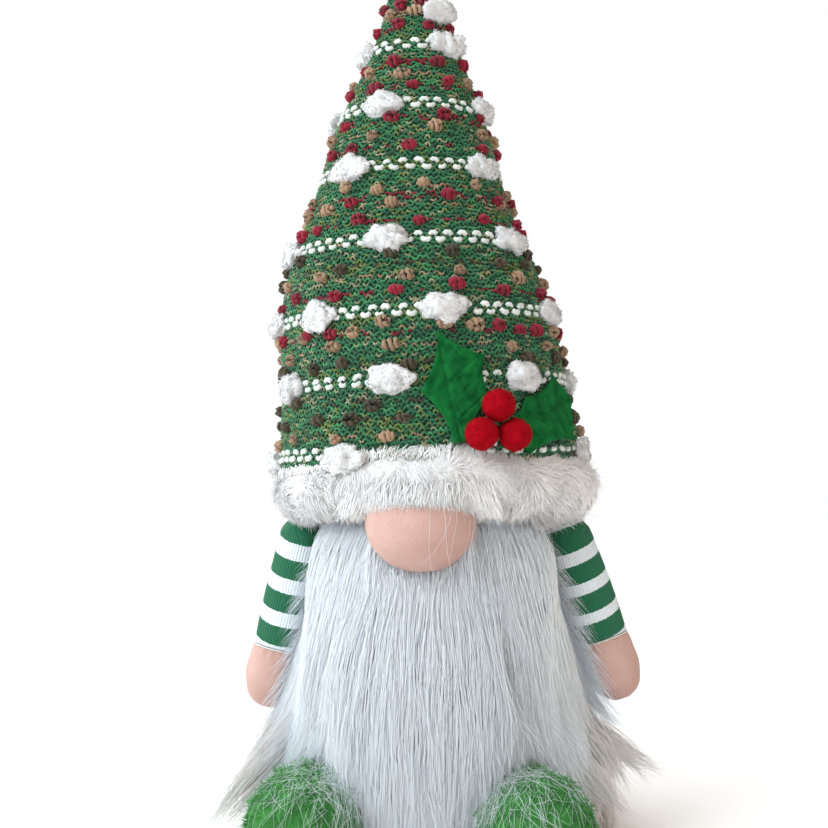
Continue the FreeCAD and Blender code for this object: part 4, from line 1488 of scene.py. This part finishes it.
def make_leaf(name):
    """A felt leaf: thick, with pressed veins, laid on the hat with its tip a little off it."""
    azimuth, stalk, lean, right, left = LEAVES[name]
    length = right[-1][1]
    spikes = [z for _, z in right[:-1] + left[:-1]]
    stations = np.unique(np.concatenate((np.linspace(0, length - 0.3, 96), spikes)))
    low, high = leaf_side(left, stations), leaf_side(right, stations)
    share = np.linspace(0, 1, 48)
    across = low[:, None] * (1 - share) + high[:, None] * share
    along = np.broadcast_to(stations[:, None], across.shape)
    tree = tree_of("hat_knit_cover")
    tilt = math.radians(lean)
    sideways = -math.sin(tilt) * 0.5 * length * MM
    radius = float(hat_radius(max(stalk * MM, HAT_HEIGHTS[0])))
    facing = math.radians(azimuth) + sideways / radius
    x = (across * math.cos(tilt) - along * math.sin(tilt)) * MM - sideways
    z = (across * math.sin(tilt) + along * math.cos(tilt)) * MM + stalk * MM
    outward = polar(facing, 1.0, 0.0)
    sidewards = polar(facing + TURN / 4, 1.0, 0.0)
    lean_xy = np.array((float(np.interp(stalk * MM, HAT_HEIGHTS, HAT_ROWS[:, 1])), 0, 0))
    groove = np.exp(-(across / 0.8)**2)
    for rise in np.arange(0.18, 0.9, 0.17) * length:
        for edge in (-1, 1):
            reach = along - rise - 0.62 * across * edge
            groove = np.maximum(groove, 0.75 * np.exp(-(reach / 0.65)**2) * (across * edge > 0))
    border = np.minimum(across - low[:, None], high[:, None] - across)
    lift = 1.1 + 2.4 * (along / length)**3 + 1.1 * smooth(6, 0, border) * (along / length)
    grain = ripple(np.stack((across, along), axis=-1), 3.0, 151)
    face = lift + 1.5 - 0.55 * groove + 0.10 * grain - 0.45 * smooth(0.8, 0, border)
    back = lift + 0.2 + 0.35 * smooth(0.8, 0, border)
    above_hem = np.maximum(z, HEM_CLEAR)
    places = np.empty((*across.shape, 3))
    for index in np.ndindex(across.shape):
        origin = sidewards * x[index] + outward * 0.3 + np.array((0, 0, above_hem[index])) + lean_xy
        hit = None
        while hit is None:
            hit = tree.ray_cast(Vector(origin), Vector(-outward))[0]
            origin = origin - 0.03 * MM * sidewards
        places[index] = hit
    places[..., 2] = z  # the part that reaches below the hat's hem hangs straight down
    out = unit(0.55 * outward + 0.45 * unit(places * (1, 1, 0) - lean_xy))
    top = places + out * (face * MM)[..., None]
    under = places + out * (back * MM)[..., None]
    grid = np.concatenate((top, under[:, ::-1]), axis=1)
    flat, faces = lattice(grid)
    piece = make_piece(f"leaf_{name}", flat, faces, "torso", LEAF_FELT)
    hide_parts(f"holly_leaf_{name}")


def make_berry(name):
    """A felt ball, slightly uneven and fuzzy."""
    low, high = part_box(f"holly_berry_{name}")
    centre = np.array((low + high) / 2)
    rng = np.random.default_rng(sum(map(ord, name)))
    ways, faces = globe(5)
    radius = BERRY_RADIUS * (0.985 + 0.02 * ripple(ways, 1.2, 161) + 0.008 * ripple(ways, 0.2, 162))
    points = centre + ways * radius[:, None]
    piece = make_piece(f"berry_{name}", points, faces, "torso", BERRY_FELT)
    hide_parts(f"holly_berry_{name}")
    count = BERRY_FIBRES
    chosen = rng.choice(len(points), count)
    lean = rng.normal(size=(count, 1, 3)) * 0.7
    length = rng.uniform(0.25, 0.6, (count, 1, 1)) * MM
    paths = fuzz_lines(points[chosen], ways[chosen], lean, length)
    radii = np.broadcast_to(0.07 * MM * FUZZ_TAPER, paths.shape[:2])
    fur_pieces(
        f"berry_fuzz_{name}", paths, radii, BERRY_FUZZ, rng, 1,
        nodes=(f"holly_berry_{name}",),
    )


# ---------------------------------------------------------------- CAD nodes that stay

# material, its dark and light colour, size of its mottle and of its grain (mm), roughness, depth
# of the grain (mm), and words that the names of its nodes hold
CAD_CLOTHS = (
    ("thread_white", (0.62, 0.61, 0.58), (0.80, 0.79, 0.76), 3, 0.3, 0.7, 0.05,
     ("thread", "wrist_stitch")),
    ("fibre_filling", (0.74, 0.74, 0.72), (0.86, 0.86, 0.84), 8, 1.0, 0.95, 0.5,
     ("stuffing", "wadding")),
    ("base_felt_white", (0.60, 0.60, 0.60), (0.74, 0.74, 0.73), 6, 0.6, 0.95, 0.2,
     ("base_panel",)),
    ("base_card_grey", (0.36, 0.32, 0.26), (0.46, 0.42, 0.35), 10, 0.4, 0.8, 0.05,
     ("base_board",)),
    ("pellet_bag_cotton", (0.60, 0.57, 0.50), (0.72, 0.69, 0.62), 7, 0.5, 0.9, 0.2,
     ("pellet_bag",)),
    ("hat_liner_grey", (0.42, 0.42, 0.42), (0.55, 0.55, 0.55), 9, 0.5, 0.85, 0.1,
     ("hat_stiffener",)),
    ("sole_felt_green", (0.02, 0.14, 0.03), (0.04, 0.22, 0.05), 6, 0.6, 0.95, 0.2,
     ("shoe_sole",)),
    ("tab_cotton_white", (0.66, 0.66, 0.65), (0.80, 0.80, 0.79), 2, 0.5, 0.9, 0.1,
     ("shoulder_tab",)),
)


def dress_cad():
    """Gives the CAD nodes that stay a better material."""
    for name, dark, light, size, grain, roughness, depth, words in CAD_CLOTHS:
        material = cloth_paint(name, dark, light, size * MM, grain * MM, roughness, depth * MM)
        for node_name in sorted(frame["nodes"]):
            if any(word in node_name for word in words):
                slots = frame["nodes"][node_name].data.materials
                slots.clear()
                slots.append(material)


# ---------------------------------------------------------------- stage

def area_light(name, place, target, size, watts, colour):
    """A round lamp that faces its target."""
    data = bpy.data.lights.new(name, "AREA")
    data.shape = "DISK"
    data.size = size
    data.energy = watts
    data.color = colour
    light = bpy.data.objects.new(name, data)
    light.location = place
    light.rotation_euler = (Vector(target) - Vector(place)).to_track_quat("-Z", "Y").to_euler()
    bpy.context.scene.collection.objects.link(light)


def make_floor():
    """A sheet of pale paper, far wider than the picture."""
    half = 40.0
    corners = np.array(((-half, -half, 0), (half, -half, 0), (half, half, 0), (-half, half, 0)))
    paper = new_material("studio_paper", 0.9)
    tones = ((0.2, (0.97, 0.94, 0.92)), (0.8, (1.0, 0.97, 0.95)))
    paint(paper, ramp(paper, noise(paper, 4 * MM, 3.0), tones))
    face = [np.array(((0, 1, 2, 3),))]
    floor = make_piece("studio_floor", corners, face, None, paper)


def make_world():
    """A surround that looks white, and lights cool and strong from -X, warm and dim from +X."""
    world = bpy.data.worlds.new("studio")
    bpy.context.scene.world = world
    world.use_nodes = True
    background = world.node_tree.nodes["Background"]
    where = node(world, "ShaderNodeTexCoord")
    parts = node(world, "ShaderNodeSeparateXYZ")
    overhead = node(world, "ShaderNodeMapRange", from_min=0.6, from_max=0.9, to_min=1.9, to_max=3.2)
    shift = node(world, "ShaderNodeMapRange", from_min=-1.0)
    sides = (
        (0.0, (0.87, 0.95, 1.0)), (0.5, (0.48, 0.50, 0.51)),
        (0.7, (0.25, 0.215, 0.18)), (1.0, (0.10, 0.072, 0.052)),
    )
    join(world, where.outputs["Generated"], parts.inputs[0])
    join(world, parts.outputs["X"], shift.inputs["Value"])
    join(world, parts.outputs["Z"], overhead.inputs["Value"])
    join(world, overhead.outputs[0], background.inputs["Strength"])
    join(world, ramp(world, shift.outputs[0], sides), background.inputs["Color"])
    white = node(world, "ShaderNodeBackground", color=(1, 1, 1, 1), strength=1.0)
    path = node(world, "ShaderNodeLightPath")
    choose = node(world, "ShaderNodeMixShader")
    join(world, path.outputs["Is Camera Ray"], choose.inputs["Fac"])
    join(world, background.outputs[0], choose.inputs[1])
    join(world, white.outputs[0], choose.inputs[2])
    output = world.node_tree.nodes["World Output"]
    join(world, choose.outputs[0], output.inputs["Surface"])


def make_lights():
    """A soft cool light from the front at -X, and a faint warm one at +X."""
    area_light("key", (-1.0, -1.1, 1.1), (0, 0, 0.2), 1.0, 14, (0.90, 0.96, 1.0))
    area_light("fill", (1.3, -0.5, 0.6), (0, 0, 0.2), 0.9, 1.5, (1.0, 0.82, 0.66))
    bpy.context.scene.view_settings.view_transform = "Standard"


def make_camera():
    """Close in front, a little towards +X, as high as the nose and looking slightly up."""
    azimuth = math.radians(6)
    distance = 700 * MM
    height = 150 * MM
    pitch = math.radians(4.2)
    data = bpy.data.cameras.new("camera")
    data.sensor_width = 36
    data.angle = math.radians(32.9)
    data.clip_start = 0.02
    yaw = -azimuth - math.radians(0.9)
    level = math.cos(pitch)
    look = Vector((math.sin(yaw) * level, math.cos(yaw) * level, math.sin(pitch)))
    camera = bpy.data.objects.new("camera", data)
    camera.location = (distance * math.sin(azimuth), -distance * math.cos(azimuth), height)
    camera.rotation_euler = look.to_track_quat("-Z", "Y").to_euler()
    bpy.context.scene.collection.objects.link(camera)
    bpy.context.scene.camera = camera


make_camera()
make_floor()
make_world()
make_lights()
make_ground()
make_stitches()
make_white_rows()
make_nubs()
make_slubs()
make_brim()
make_backing()
make_beard()
make_body_fur()
make_loose_hair()
make_locks()
make_nose()
for side in STEMS:
    make_arm(side)
    make_shoe(side)
for name in LEAVES:
    make_leaf(name)
for name in ("top", "left", "right"):
    make_berry(name)
dress_cad()
